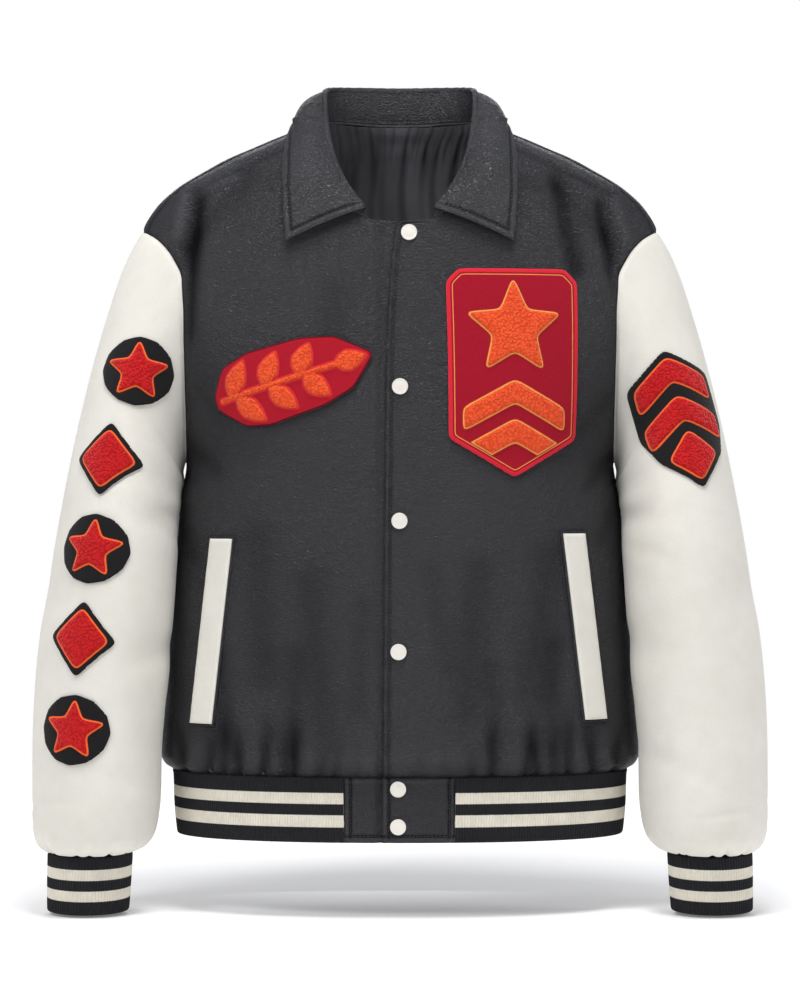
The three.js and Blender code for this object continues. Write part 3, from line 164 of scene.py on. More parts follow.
def run_lengths(grid: Array, axis: int) -> Array:
    """Return each point's distance along its row or column of a grid, from the first point."""
    steps = np.linalg.norm(np.diff(grid, axis=axis), axis=-1)
    start = np.zeros_like(np.take(steps, [0], axis=axis))
    return np.concatenate([start, np.cumsum(steps, axis=axis)], axis=axis)


def longest(grid: Array, axis: int) -> float:
    """Return the length of a grid's longest row or column."""
    return float(run_lengths(grid, axis).max())


def spaced(count: int, crowding: float = 0.0) -> Array:
    """Return shares from 0 to 1 that crowd towards both ends.

    Args:
        count: Number of steps.
        crowding: From 0, even, towards 1, where the end steps vanish.

    Returns:
        count + 1 shares.
    """
    t = np.linspace(0, 1, count + 1)
    return t - crowding * np.sin(2 * np.pi * t) / (2 * np.pi)


def evenly(row_at: Callable[[Array], Array], shares: Array, fine: int = 90) -> Array:
    """Return the values at which a row reaches given shares of its own length."""
    samples = np.linspace(0, 1, fine + 1)
    lengths = run_lengths(row_at(samples)[None], 1)[0]
    return np.interp(shares * lengths[-1], lengths, samples)


def ripple(run: Array, wave: float, start: float) -> Array:
    """Return an uneven but repeatable wave from about -1 to 1 along a run of millimetres."""
    turn = 2 * np.pi * np.asarray(run) / wave
    second = 0.6 * np.sin(1.63 * turn + 2.1 * start + 1)
    third = 0.4 * np.sin(2.71 * turn - start)
    return (np.sin(turn + start) + second + third) / 2


def bumps(run: Array, centre: float, half_width: float) -> Array:
    """Return a soft bell round a centre."""
    return np.exp(-(((run - centre) / half_width) ** 2))


# The jacket's form, from the same sizes as its solids

BODY = Table(
    ("z", "width", "front", "back", "middle", "square"),
    (
        (-700, 212, 109, 92, 8, 2.3), (-683, 213.5, 111, 94, 8, 2.3), (-654, 216, 112.8, 95.8, 8, 2.3),
        (-628, 216.9, 113.9, 96.9, 8, 2.3), (-622, 218.5, 115, 98, 8, 2.3), (-616, 225.5, 119.5, 102, 8, 2.3),
        (-606, 229.5, 123, 105, 8, 2.3), (-590, 229.5, 124.5, 106, 8, 2.3), (-560, 226.5, 125.5, 105, 8, 2.3),
        (-520, 223, 126, 103, 8, 2.3), (-480, 220, 127, 102, 8, 2.3), (-440, 217, 128, 102, 8, 2.25),
        (-400, 214, 128.5, 103, 8, 2.2), (-365, 211.5, 129, 104, 8, 2.2), (-345, 208, 129, 104, 8, 2.2),
        (-330, 206, 129, 104.5, 8, 2.2), (-300, 210, 128, 105.5, 7.5, 2.25),
        (-260, 219, 125.5, 107, 6.5, 2.3), (-220, 230, 120.5, 108, 4.5, 2.3),
        (-180, 241.5, 114.5, 108, 3, 2.25), (-145, 248.5, 108, 107.5, 1.5, 2.2),
        (-125, 250, 104.5, 107.5, 0.5, 2.2), (-108, 247, 101.5, 107, 0, 2.2), (-86, 234.5, 95, 105, -1, 2.1),
        (-67, 214.5, 87, 102.5, -2, 2.05), (-48, 183.5, 72.5, 99, -2.5, 2), (-38, 165, 62, 96.5, -3, 2),
        (-29, 144, 52, 94, -3.5, 2), (-20, 123, 41.5, 90.5, -4, 2), (-10, 98.5, 26, 86, -4.5, 2),
        (-4, 86.5, 13, 82.5, -5, 2), (0, 79, 5, 80.5, -5, 2), (6, 77, 4, 79.5, -5, 2),
    ),
)
ARMHOLE_EDGE = Table(
    ("round", "front", "back"),
    (
        (0, 0, 0), (14, 14.4, 11), (28, 25.7, 20), (42, 32, 26), (56, 34.8, 29), (70, 34, 29.5),
        (90, 29.7, 27), (110, 23.9, 22.5), (130, 17.4, 17), (150, 10.8, 10.5), (165, 5.2, 5), (180, 0, 0),
    ),
)
NECKLINE = Table(
    ("z", "x"),
    (
        (-106, 13), (-105, 24), (-100, 38), (-89, 51.5), (-72, 63), (-50, 71.5), (-28, 76), (-11, 78),
        (-1.5, 78.6),
    ),
)
PLACKET = Table(
    ("z", "x"), ((-700, -16.5), (-500, -15.5), (-330, -14), (-220, -12.5), (-145, -8.5), (-100, -2.5)),
)
SLEEVE = Table(
    ("out_x", "out_z", "in_x", "in_z", "depth", "middle", "armhole"),
    (
        (246.5, -108, 206, -330, 68, 3, 1), (258, -128, 207.6, -334, 70, 2, 0.78),
        (267.5, -150, 208.6, -338, 72.5, 0, 0.56), (282, -195, 210, -344, 75, -4, 0.28),
        (295.5, -245, 211.2, -352, 76, -10, 0.08), (307, -295, 211.5, -362, 76, -16, 0),
        (316.5, -345, 210.6, -378, 75, -25, 0), (325, -395, 210.8, -406, 73.5, -33, 0),
        (332, -440, 213, -442, 72, -39, 0), (338.5, -480, 216, -480, 71, -43, 0),
        (343, -520, 219, -520, 70, -46, 0), (345.5, -560, 222.2, -560, 69, -48.5, 0),
        (346.5, -600, 225, -600, 68, -50.5, 0), (346.5, -640, 225.5, -640, 67, -52, 0),
        (346.3, -662, 227.5, -662, 65, -53, 0), (345, -678, 231, -678, 61.5, -53.5, 0),
        (341, -689, 238.5, -689, 53, -54, 0), (332.9, -695.5, 250.6, -695.5, 38.5, -54, 0),
    ),
)
COLLAR = Table(
    ("fold_x", "fold_y", "fold_z", "edge_x", "edge_y", "edge_z", "bow"),
    (
        (30.7, -101, -92.5, 105.8, -102.5, -123.5, 3), (37.2, -96.5, -84.5, 108.2, -98, -101, 5),
        (49.6, -84, -66, 110, -87.5, -76, 8), (60.3, -62, -40.6, 110.3, -65, -48, 8),
        (67.6, -30, -6.8, 108.8, -38, -26, 8), (71, 0, 20, 105.5, -13, -11, 8),
        (71.5, 24, 33, 101, 15, -6, 8), (66, 44, 37, 92, 42, -9, 8), (52, 60, 39, 74, 68, -13, 8),
        (28, 70, 40, 40, 88, -17, 8), (0, 73, 40, 0, 94, -18, 8),
    ),
)
# Troughs of the panels on each half: a line from one end to the other, half width and depth
FOLDS = Table(
    ("side", "x0", "z0", "x1", "z1", "width", "depth"),
    (
        ("front", 150, -62, 158, -112, 13, 3.2), ("front", 194, -92, 200, -150, 9, 3),
        ("front", 172, -300, 196, -345, 13, 2.6), ("front", 110, -585, 122, -520, 15, 2.4),
        ("back", 165, -75, 172, -190, 14, 3.2), ("back", 60, -40, 105, -72, 16, 2.4),
        ("back", 168, -330, 120, -300, 15, 3), ("back", 175, -420, 128, -455, 17, 3),
        ("back", 70, -590, 62, -520, 16, 2.6),
    ),
)
# Soft troughs across the sleeves: section, angle round, half widths along and round, and depth
SLEEVE_FOLDS = Table(
    ("at", "round", "along", "around", "depth"),
    (
        (3.4, 100, 0.8, 26, 3.4), (6.2, 150, 0.45, 34, 3.4), (8.3, 35, 0.5, 30, 2.6), (9.6, 155, 0.4, 36, 3),
        (5.1, 245, 0.5, 36, 3.6), (9.0, 235, 0.45, 34, 3.4), (12.2, 290, 0.5, 30, 2.8),
    ),
)

SEAM_GAP = 0.36
LEATHER = 2.2
FELT = 2.4
COLLAR_WALL = 2.4
LEAST_WALL = 0.4
RIB_WALL = 2.2
LINING_WALL = 1.2
WAIST_Z = -622.0
PIT_Z = -330.0
HEM_Z = -683.0
NECK_BACK_Z = 4.0
SHOULDER_ANGLE = 75.0
SHOULDER_NECK_Z = -1.5
ARMHOLE_TOP = -108.0
ARMHOLE_BOTTOM = -330.0
FRONT_ARM_TURN = 166.0
BACK_ARM_TURN = 194.0
SLEEVE_GATHER_FROM = 13
LAST_SECTION = 17
CUFF_TILT = math.tan(math.radians(3))
STAND_BELOW_FOLD = 5.0
ROLL_RADIUS = 2.9
ROLL_DROP = 3.4
LEAF_LIFT = 1.4


class Half(Enum):
    """The two halves of the jacket, by the sign of X."""

    LEFT = 1
    RIGHT = -1

    @property
    def word(self) -> str:
        """Return the half's name as the nodes spell it."""
        return self.name.lower()

    @property
    def sides(self) -> Array:
        """Return the factors that move points of the +X half to this one."""
        return np.array([self.value, 1, 1])


class BodyForm:
    """Outside of the torso on the +X half, by the angle round it and the height."""

    def __init__(self) -> None:
        """Read the tables as curves."""
        self.rows = BODY.curves("z")
        self.edge = ARMHOLE_EDGE.curves("round")
        self.placket = PLACKET.curve("z", "x")
        steps = np.linspace(0, 1, len(NECKLINE.rows))
        self.neck_z = Curve(steps, NECKLINE.column("z"))
        self.neck_x = Curve(steps, NECKLINE.column("x"))

    def plain(self, angle: Array, z: Array) -> Array:
        """Return points of the form without folds.

        Args:
            angle: 0 in front over 90 at the side to 180 behind, and on to 360 round the other half.
            z: Height.

        Returns:
            The points.
        """
        turn = np.radians(angle)
        rows = self.rows
        power = 2 / rows["square"](z)
        sine, cosine = np.sin(turn), np.cos(turn)
        depth = np.where(cosine >= 0, rows["front"](z), rows["back"](z))
        x = rows["width"](z) * np.sign(sine) * np.abs(sine) ** power
        y = rows["middle"](z) - depth * np.sign(cosine) * np.abs(cosine) ** power
        return point(x, y, z)

    def normal(self, angle: Array, z: Array) -> Array:
        """Return the form's outward normals."""
        return normals_of(self.plain, np.asarray(angle, float), np.asarray(z, float), 0.6, 1.2)

    def level_normal(self, angle: Array, z: Array) -> Array:
        """Return the form's outward normals, laid level."""
        normal = self.normal(angle, z)
        normal[..., 2] = 0
        return unit(normal)

    def fold_depth(self, side: str, x: Array, z: Array) -> Array:
        """Return how deep the large folds of the front or the back lie."""
        depth = np.zeros(np.broadcast(x, z).shape)
        for fold_side, x0, z0, x1, z1, width, fold in FOLDS.rows:
            if fold_side == side:
                depth = depth + trough(x, z, (x0, z0), (x1, z1), width, fold)
        return depth

    def point(self, angle: Array, z: Array) -> Array:
        """Return points of the form with its large folds."""
        angle = np.asarray(angle, float)
        plain = self.plain(angle, z)
        folded = np.where(angle > 180, 360 - angle, angle)
        x = np.abs(plain[..., 0])
        depth = np.where(folded < 90, self.fold_depth("front", x, z), self.fold_depth("back", x, z))
        return plain - self.normal(angle, z) * depth[..., None]

    def angle_at(self, x: Array, z: Array) -> Array:
        """Return the angle at which a section reaches a distance from the middle."""
        share = np.clip(np.abs(x) / self.rows["width"](z), 0, 1)
        return np.sign(x) * np.degrees(np.arcsin(share ** (self.rows["square"](z) / 2)))

    def armhole_at(self, turn: Array) -> tuple[Array, Array]:
        """Return the angle and the height of the armhole's edge: 0 at the tip, 180 at the armpit."""
        z = (ARMHOLE_TOP + ARMHOLE_BOTTOM) / 2 + (ARMHOLE_TOP - ARMHOLE_BOTTOM) / 2 * np.cos(np.radians(turn))
        folded = np.mod(turn, 360)
        front = 90 - self.edge["front"](folded)
        back = 90 + self.edge["back"](360 - folded)
        return np.where(folded <= 180, front, back), z

    def neckline_at(self, share: Array) -> tuple[Array, Array]:
        """Return angle and height of the neckline: 0 in front, 1 at the shoulder seam, 2 behind."""
        share = np.asarray(share, float)
        ahead = np.clip(share, 0, 1)
        front_z = self.neck_z(ahead)
        front_angle = np.minimum(self.angle_at(self.neck_x(ahead), front_z), SHOULDER_ANGLE)
        behind = np.clip(share - 1, 0, 1)
        back_angle = SHOULDER_ANGLE + behind * (180 - SHOULDER_ANGLE)
        back_z = SHOULDER_NECK_Z + (NECK_BACK_Z - SHOULDER_NECK_Z) * np.minimum(1, behind * 1.6)
        return np.where(share <= 1, front_angle, back_angle), np.where(share <= 1, front_z, back_z)

    def front_at(self, x: Array, z: Array) -> Array:
        """Return points of the front over X and Z, on both halves."""
        points = self.point(self.angle_at(np.abs(x), z), z)
        points[..., 0] *= np.where(np.asarray(x) < 0, -1, 1)
        return points

    def front_normal(self, x: Array, z: Array) -> Array:
        """Return the front's outward normals over X and Z."""
        return unit(normals_of(self.front_at, np.asarray(x, float), np.asarray(z, float), 1.0, 1.0))


def trough(x: Array, z: Array, start: tuple, end: tuple, width: float, depth: float) -> Array:
    """Return the depth of a soft trough along a line, which fades past its ends.

    Args:
        x: Places across.
        z: Places along the height.
        start: First end of the line.
        end: Second end of the line.
        width: Half width.
        depth: Depth on the line.

    Returns:
        The depth at each place.
    """
    dx, dz = end[0] - start[0], end[1] - start[1]
    length = math.hypot(dx, dz)
    along = ((x - start[0]) * dx + (z - start[1]) * dz) / length
    across = ((x - start[0]) * dz - (z - start[1]) * dx) / length
    past = np.maximum(0, np.maximum(-along, along - length)) / (2 * width)
    return depth * np.exp(-((across / width) ** 2) - past * past * 4)


class SleeveForm:
    """Outside of the sleeve on the +X half, by the angle round it and its section."""

    def __init__(self, body: BodyForm) -> None:
        """Keep the body, which the armhole follows, and read the table."""
        self.body = body
        self.rows = SLEEVE.numbered().curves("at")

    def ellipse(self, turn: Array, at: Array) -> Array:
        """Return points of the plain slanted sections."""
        rows = self.rows
        share = (1 - np.cos(np.radians(turn))) / 2
        x = rows["out_x"](at) + (rows["in_x"](at) - rows["out_x"](at)) * share
        z = rows["out_z"](at) + (rows["in_z"](at) - rows["out_z"](at)) * share
        y = rows["middle"](at) - rows["depth"](at) * np.sin(np.radians(turn))
        return point(x, y, z)

    def plain(self, turn: Array, at: Array) -> Array:
        """Return points without folds, led into the armhole at the top and tilted at the cuff."""
        turn, at = np.broadcast_arrays(np.asarray(turn, float), np.asarray(at, float))
        points = self.ellipse(turn, at)
        share = self.rows["armhole"](np.clip(at, 0, LAST_SECTION))[..., None]
        edge = self.body.point(*self.body.armhole_at(turn)) - self.ellipse(turn, np.zeros_like(at))
        points = points + edge * share
        tilt = smoothstep(at, SLEEVE_GATHER_FROM, LAST_SECTION)
        points[..., 2] += tilt * CUFF_TILT * (points[..., 1] - CuffBand.middle_y)
        return points

    def normal(self, turn: Array, at: Array) -> Array:
        """Return the outward normals."""
        turn, at = np.broadcast_arrays(np.asarray(turn, float), np.asarray(at, float))
        return normals_of(self.plain, turn, np.clip(at, 0.25, LAST_SECTION - 0.25), 1.5, 0.2)

    def point(self, turn: Array, at: Array) -> Array:
        """Return points with the large folds."""
        turn, at = np.broadcast_arrays(np.asarray(turn, float), np.asarray(at, float))
        folded = np.mod(turn, 360)
        depth = np.zeros(at.shape)
        for fold_at, fold_turn, along, around, fold in SLEEVE_FOLDS.rows:
            depth += fold * bumps(at, fold_at, along) * bumps(folded, fold_turn, around)
        depth *= smoothstep(at, 0.5, 2.5)
        return self.plain(turn, at) - self.normal(turn, at) * depth[..., None]

    def armhole_inward(self, turn: Array) -> Array:
        """Return the direction in which both walls of the armhole seam get their thickness."""
        angle, z = self.body.armhole_at(turn)
        return -unit(self.body.normal(angle, z) + self.normal(turn, 0.4))

    def on_half(self, half: Half) -> Callable:
        """Return the surface over the angle and tenths of a section, on one half."""

        def surface(turn: Array, tenths: Array) -> Array:
            """Return points of the sleeve on the chosen half."""
            return self.point(turn, np.asarray(tenths) / 10) * half.sides

        return surface


# Meshes


def stitched(line_a: Array, line_b: Array, closed: bool) -> list[tuple[int, int, int]]:
    """Return triangles between two lines of vertex numbers that may have different counts."""
    count_a = len(line_a) if closed else len(line_a) - 1
    count_b = len(line_b) if closed else len(line_b) - 1
    faces = []
    a = b = 0
    while a < count_a or b < count_b:
        here_a, here_b = int(line_a[a % len(line_a)]), int(line_b[b % len(line_b)])
        if b >= count_b or (a < count_a and (a + 1) * count_b <= (b + 1) * count_a):
            faces.append((here_a, int(line_a[(a + 1) % len(line_a)]), here_b))
            a += 1
        else:
            faces.append((here_a, int(line_b[(b + 1) % len(line_b)]), here_b))
            b += 1
    return faces


def grid_faces(numbers: Array, closed: bool) -> Array:
    """Return the quads of a grid of vertex numbers."""
    right = np.roll(numbers, -1, axis=1) if closed else numbers[:, 1:]
    left = numbers if closed else numbers[:, :-1]
    quads = np.stack([left[:-1], right[:-1], right[1:], left[1:]], axis=-1)
    return quads.reshape(-1, 4)


def hang(name: str, mesh: bpy.types.Mesh, smooth_deg: float) -> Piece:
    """Make an object of a mesh, shade it smooth up to an angle, and ride it on the jacket."""
    piece = bpy.data.objects.new(name, mesh)
    bpy.context.scene.collection.objects.link(piece)
    bpy.ops.object.select_all(action="DESELECT")
    piece.select_set(True)
    bpy.context.view_layer.objects.active = piece
    bpy.ops.object.shade_smooth_by_angle(angle=math.radians(smooth_deg))
    piece.select_set(False)
    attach(piece, "root")
    return piece


@dataclass
class MeshParts:
    """Vertices and faces of a piece while it is being put together."""

    name: str
    vertices: list[Array] = field(default_factory=list)
    faces: list = field(default_factory=list)
    slots: list[int] = field(default_factory=list)
    uv: list[Array] = field(default_factory=list)
    values: dict[str, list[Array]] = field(default_factory=dict)
    count: int = 0

    def add_points(self, points: Array, uv: Array | None = None, **values: Array) -> Array:
        """Add points and return their numbers in the same grid shape.

        Args:
            points: Points in millimetres.
            uv: Places on the cloth in metres.
            **values: Named values per point.

        Returns:
            The vertex numbers.
        """
        flat = points.reshape(-1, 3)
        numbers = np.arange(self.count, self.count + len(flat)).reshape(points.shape[:-1])
        self.vertices.append(flat)
        self.uv.append(np.zeros((len(flat), 2)) if uv is None else uv.reshape(-1, 2))
        for name, value in values.items():
            filled = self.values.setdefault(name, [])
            missing = self.count - sum(len(part) for part in filled)
            if missing:
                filled.append(np.zeros(missing))
            filled.append(np.asarray(value, float).reshape(-1))
        self.count += len(flat)
        return numbers

    def add_faces(self, faces: Sequence, slot: int = 0) -> None:
        """Add faces that take one material slot."""
        faces = [tuple(int(n) for n in face) for face in faces]
        self.faces.extend(faces)
        self.slots.extend([slot] * len(faces))

    def volume(self, points: Array) -> float:
        """Return six times the signed volume inside the faces."""
        total = 0.0
        by_size: dict[int, list] = {}
        for face in self.faces:
            by_size.setdefault(len(face), []).append(face)
        for size, faces in by_size.items():
            index = np.array(faces)
            for k in range(1, size - 1):
                a, b, c = points[index[:, 0]], points[index[:, k]], points[index[:, k + 1]]
                total += float(np.einsum("ij,ij->i", a, np.cross(b, c)).sum())
        return total

    def build(self, materials: Sequence[Material], slot: str, smooth_deg: float = 50) -> Piece:
        """Make the object, facing outwards, and ride it on the jacket.

        Args:
            materials: One material for each slot of the faces.
            slot: The record's material slot; not used.
            smooth_deg: Edges sharper than this stay sharp.

        Returns:
            The new object.
        """
        points = np.concatenate(self.vertices)
        if self.volume(points) < 0:
            self.faces = [face[::-1] for face in self.faces]
        mesh = bpy.data.meshes.new(self.name)
        mesh.from_pydata((points * MM).tolist(), [], self.faces)
        layer = mesh.uv_layers.new(name="cloth")
        corner = np.zeros(len(mesh.loops), dtype=np.int32)
        mesh.loops.foreach_get("vertex_index", corner)
        layer.data.foreach_set("uv", np.concatenate(self.uv)[corner].reshape(-1))
        for name, parts in self.values.items():
            value = np.concatenate(parts)
            value = np.concatenate([value, np.zeros(self.count - len(value))])
            mesh.attributes.new(name, "FLOAT", "POINT").data.foreach_set("value", value)
        for material in materials:
            mesh.materials.append(material)
        mesh.polygons.foreach_set("material_index", self.slots)
        mesh.update()
        LOG.info("%s: %d faces", self.name, len(mesh.polygons))
        return hang(self.name, mesh, smooth_deg)

    def replace(self, node: str, materials: Sequence[Material], slot: str, smooth_deg: float = 50) -> Piece:
        """Make the object in place of a solid of the record."""
        piece = self.build(materials, slot, smooth_deg)
        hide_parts(node)
        return piece


def cloth_wall(
    name: str, outer: Array, inner: Array, closed: bool, uv: Array | None = None, **values: Array
) -> MeshParts:
    """Put together a closed wall between an outside and an inside, given as grids of points.

    Args:
        name: Name of the piece.
        outer: Outside, in rows. Closed rows make a tube.
        inner: Inside, in rows that may be fewer and shorter.
        closed: Whether the rows close on themselves.
        uv: Places on the cloth of the outside.
        **values: Named values per outside point.

    Returns:
        The parts, with slot 0 outside and on the edges and slot 1 inside.
    """
    parts = MeshParts(name)
    out = parts.add_points(outer, uv, **values)
    ins = parts.add_points(inner)
    parts.add_faces(grid_faces(out, closed))
    parts.add_faces(grid_faces(ins, closed)[:, ::-1], 1)
    parts.add_faces(stitched(ins[0], out[0], closed))
    parts.add_faces(stitched(out[-1], ins[-1], closed))
    if not closed:
        parts.add_faces(stitched(out[:, 0], ins[:, 0], False))
        parts.add_faces(stitched(ins[:, -1], out[:, -1], False))
    return parts


def resampled(grid: Array, rows: int, columns: int) -> Array:
    """Return a coarser grid that keeps the first and last rows and columns."""
    r = np.unique(np.linspace(0, grid.shape[0] - 1, rows).round().astype(int))
    c = np.unique(np.linspace(0, grid.shape[1] - 1, columns).round().astype(int))
    return grid[np.ix_(r, c)]


@dataclass(frozen=True)
class Thread:
    """A line of sewing stitches: pitch, length, radius and how far each stands on the cloth."""

    pitch: float = 3.4
    length: float = 2.7
    radius: float = 0.33
    lift: float = 0.12
    sides: int = 5

    def sew(self, parts: MeshParts, path: Array, normal: Array) -> None:
        """Add stitches along a path.

        Args:
            parts: Mesh that gets the stitches.
            path: Points on the cloth's outside.
            normal: The cloth's normal at each point.
        """
        run = run_lengths(path[None], 1)[0]
        count = max(1, int(run[-1] / self.pitch))
        starts = (np.arange(count) + 0.5) * run[-1] / count - self.length / 2
        shares = np.array([0, 0.22, 0.78, 1.0])
        size = np.array([0.35, 1, 1, 0.35]) * self.radius
        rise = np.array([-0.3, self.lift, self.lift, -0.3])
        where = starts[:, None] + shares[None] * self.length
        flat = where.reshape(-1)
        centre, up = (
            np.stack([np.interp(flat, run, line[:, k]) for k in range(3)], -1).reshape(count, 4, 3)
            for line in (path, normal)
        )
        up = unit(up)
        ahead = unit(centre[:, -1] - centre[:, 0])[:, None, :]
        side = unit(np.cross(ahead, up))
        turn = np.arange(self.sides) * 2 * np.pi / self.sides
        cosine, sine = np.cos(turn)[:, None], np.sin(turn)[:, None]
        ring = (cosine * side[:, :, None] + sine * up[:, :, None]) * size[None, :, None, None]
        points = centre[:, :, None] + up[:, :, None] * rise[None, :, None, None] + ring
        numbers = parts.add_points(points)
        for stitch in numbers:
            parts.add_faces(grid_faces(stitch, True))
            parts.add_faces([tuple(stitch[0][::-1]), tuple(stitch[-1])])


COLLAR_THREAD = Thread(3.8, 3.0)


# Finishes


Colour = tuple[float, float, float]
# Painted shade that the fold attribute mixes into the colour of leather and satin in their folds
DEEP_SHADE: Colour = (0.0015, 0.0015, 0.002)
# Painted shade in the leather grain's pits, crinkles and wrinkle lines
PAINTED_PIT_SHADE: Colour = (0.003, 0.003, 0.004)
# Painted highlight that the fold attribute mixes into the leather's colour on its ridges
LIT_RIDGE: Colour = (0.05, 0.051, 0.058)
# Limits past every distance that a patch keeps in its mesh
FAR_OUTSIDE, FAR_INSIDE = -9.0, 999.0


class Shader:
    """Adds and links the nodes of one tree."""

    def __init__(self, tree: NodeTree) -> None:
        """Keep the tree that gets the nodes."""
        self.tree = tree

    def add(self, kind: str, inputs: dict | None = None, **settings: object) -> Node:
        """Add a node.

        Args:
            kind: Node type without its ShaderNode prefix.
            inputs: Socket name or number to a value or to the socket that feeds it.
            **settings: Properties of the node.

        Returns:
            The new node.
        """
        node = self.tree.nodes.new("ShaderNode" + kind)
        for name, value in settings.items():
            setattr(node, name, value)
        for key, value in (inputs or {}).items():
            if isinstance(value, Socket):
                self.tree.links.new(value, node.inputs[key])
            else:
                node.inputs[key].default_value = value
        return node

    def link(self, source: Socket, target: Socket) -> None:
        """Join two sockets."""
        self.tree.links.new(source, target)

    def group(self, tree: NodeTree, **inputs: object) -> Node:
        """Place a node group with its own values."""
        return self.add("Group", inputs, node_tree=tree)

    def attribute(self, name: str) -> Socket:
        """Add an Attribute node and return its value."""
        return self.add("Attribute", None, attribute_name=name).outputs["Fac"]

    def math(self, operation: str, a: object, b: object = 0.0, clamp: bool = False) -> Socket:
        """Add a Math node and return its value."""
        return self.add("Math", {0: a, 1: b}, operation=operation, use_clamp=clamp).outputs[0]

    def mix(self, share: object, first: object, second: object) -> Socket:
        """Add a colour mix and return its colour."""
        colours = [value if isinstance(value, Socket) else (*value, 1.0) for value in (first, second)]
        node = self.add("Mix", {0: share, 6: colours[0], 7: colours[1]}, data_type="RGBA")
        return node.outputs[2]

    def remap(self, value: object, low: float, high: float, to_low: object, to_high: object) -> Socket:
        """Add a clamped Map Range node and return its value."""
        inputs = {"Value": value, "From Min": low, "From Max": high, "To Min": to_low, "To Max": to_high}
        return self.add("MapRange", inputs).outputs[0]


def effect_group(name: str, inputs: dict[str, float | None], outputs: Sequence[str]) -> tuple:
    """Start a node group with named sockets.

    Args:
        name: Name of the group.
        inputs: Input name to its usual value, or None for a vector.
        outputs: Names of the values that it puts out.

    Returns:
        The group, its shader helper, and its input and output nodes.
    """
    tree = bpy.data.node_groups.new(name, "ShaderNodeTree")
    for key, value in inputs.items():
        kind = "NodeSocketVector" if value is None else "NodeSocketFloat"
        socket = tree.interface.new_socket(name=key, in_out="INPUT", socket_type=kind)
        if value is not None:
            socket.default_value = value
    for key in outputs:
        tree.interface.new_socket(name=key, in_out="OUTPUT", socket_type="NodeSocketFloat")
    return tree, Shader(tree), tree.nodes.new("NodeGroupInput"), tree.nodes.new("NodeGroupOutput")


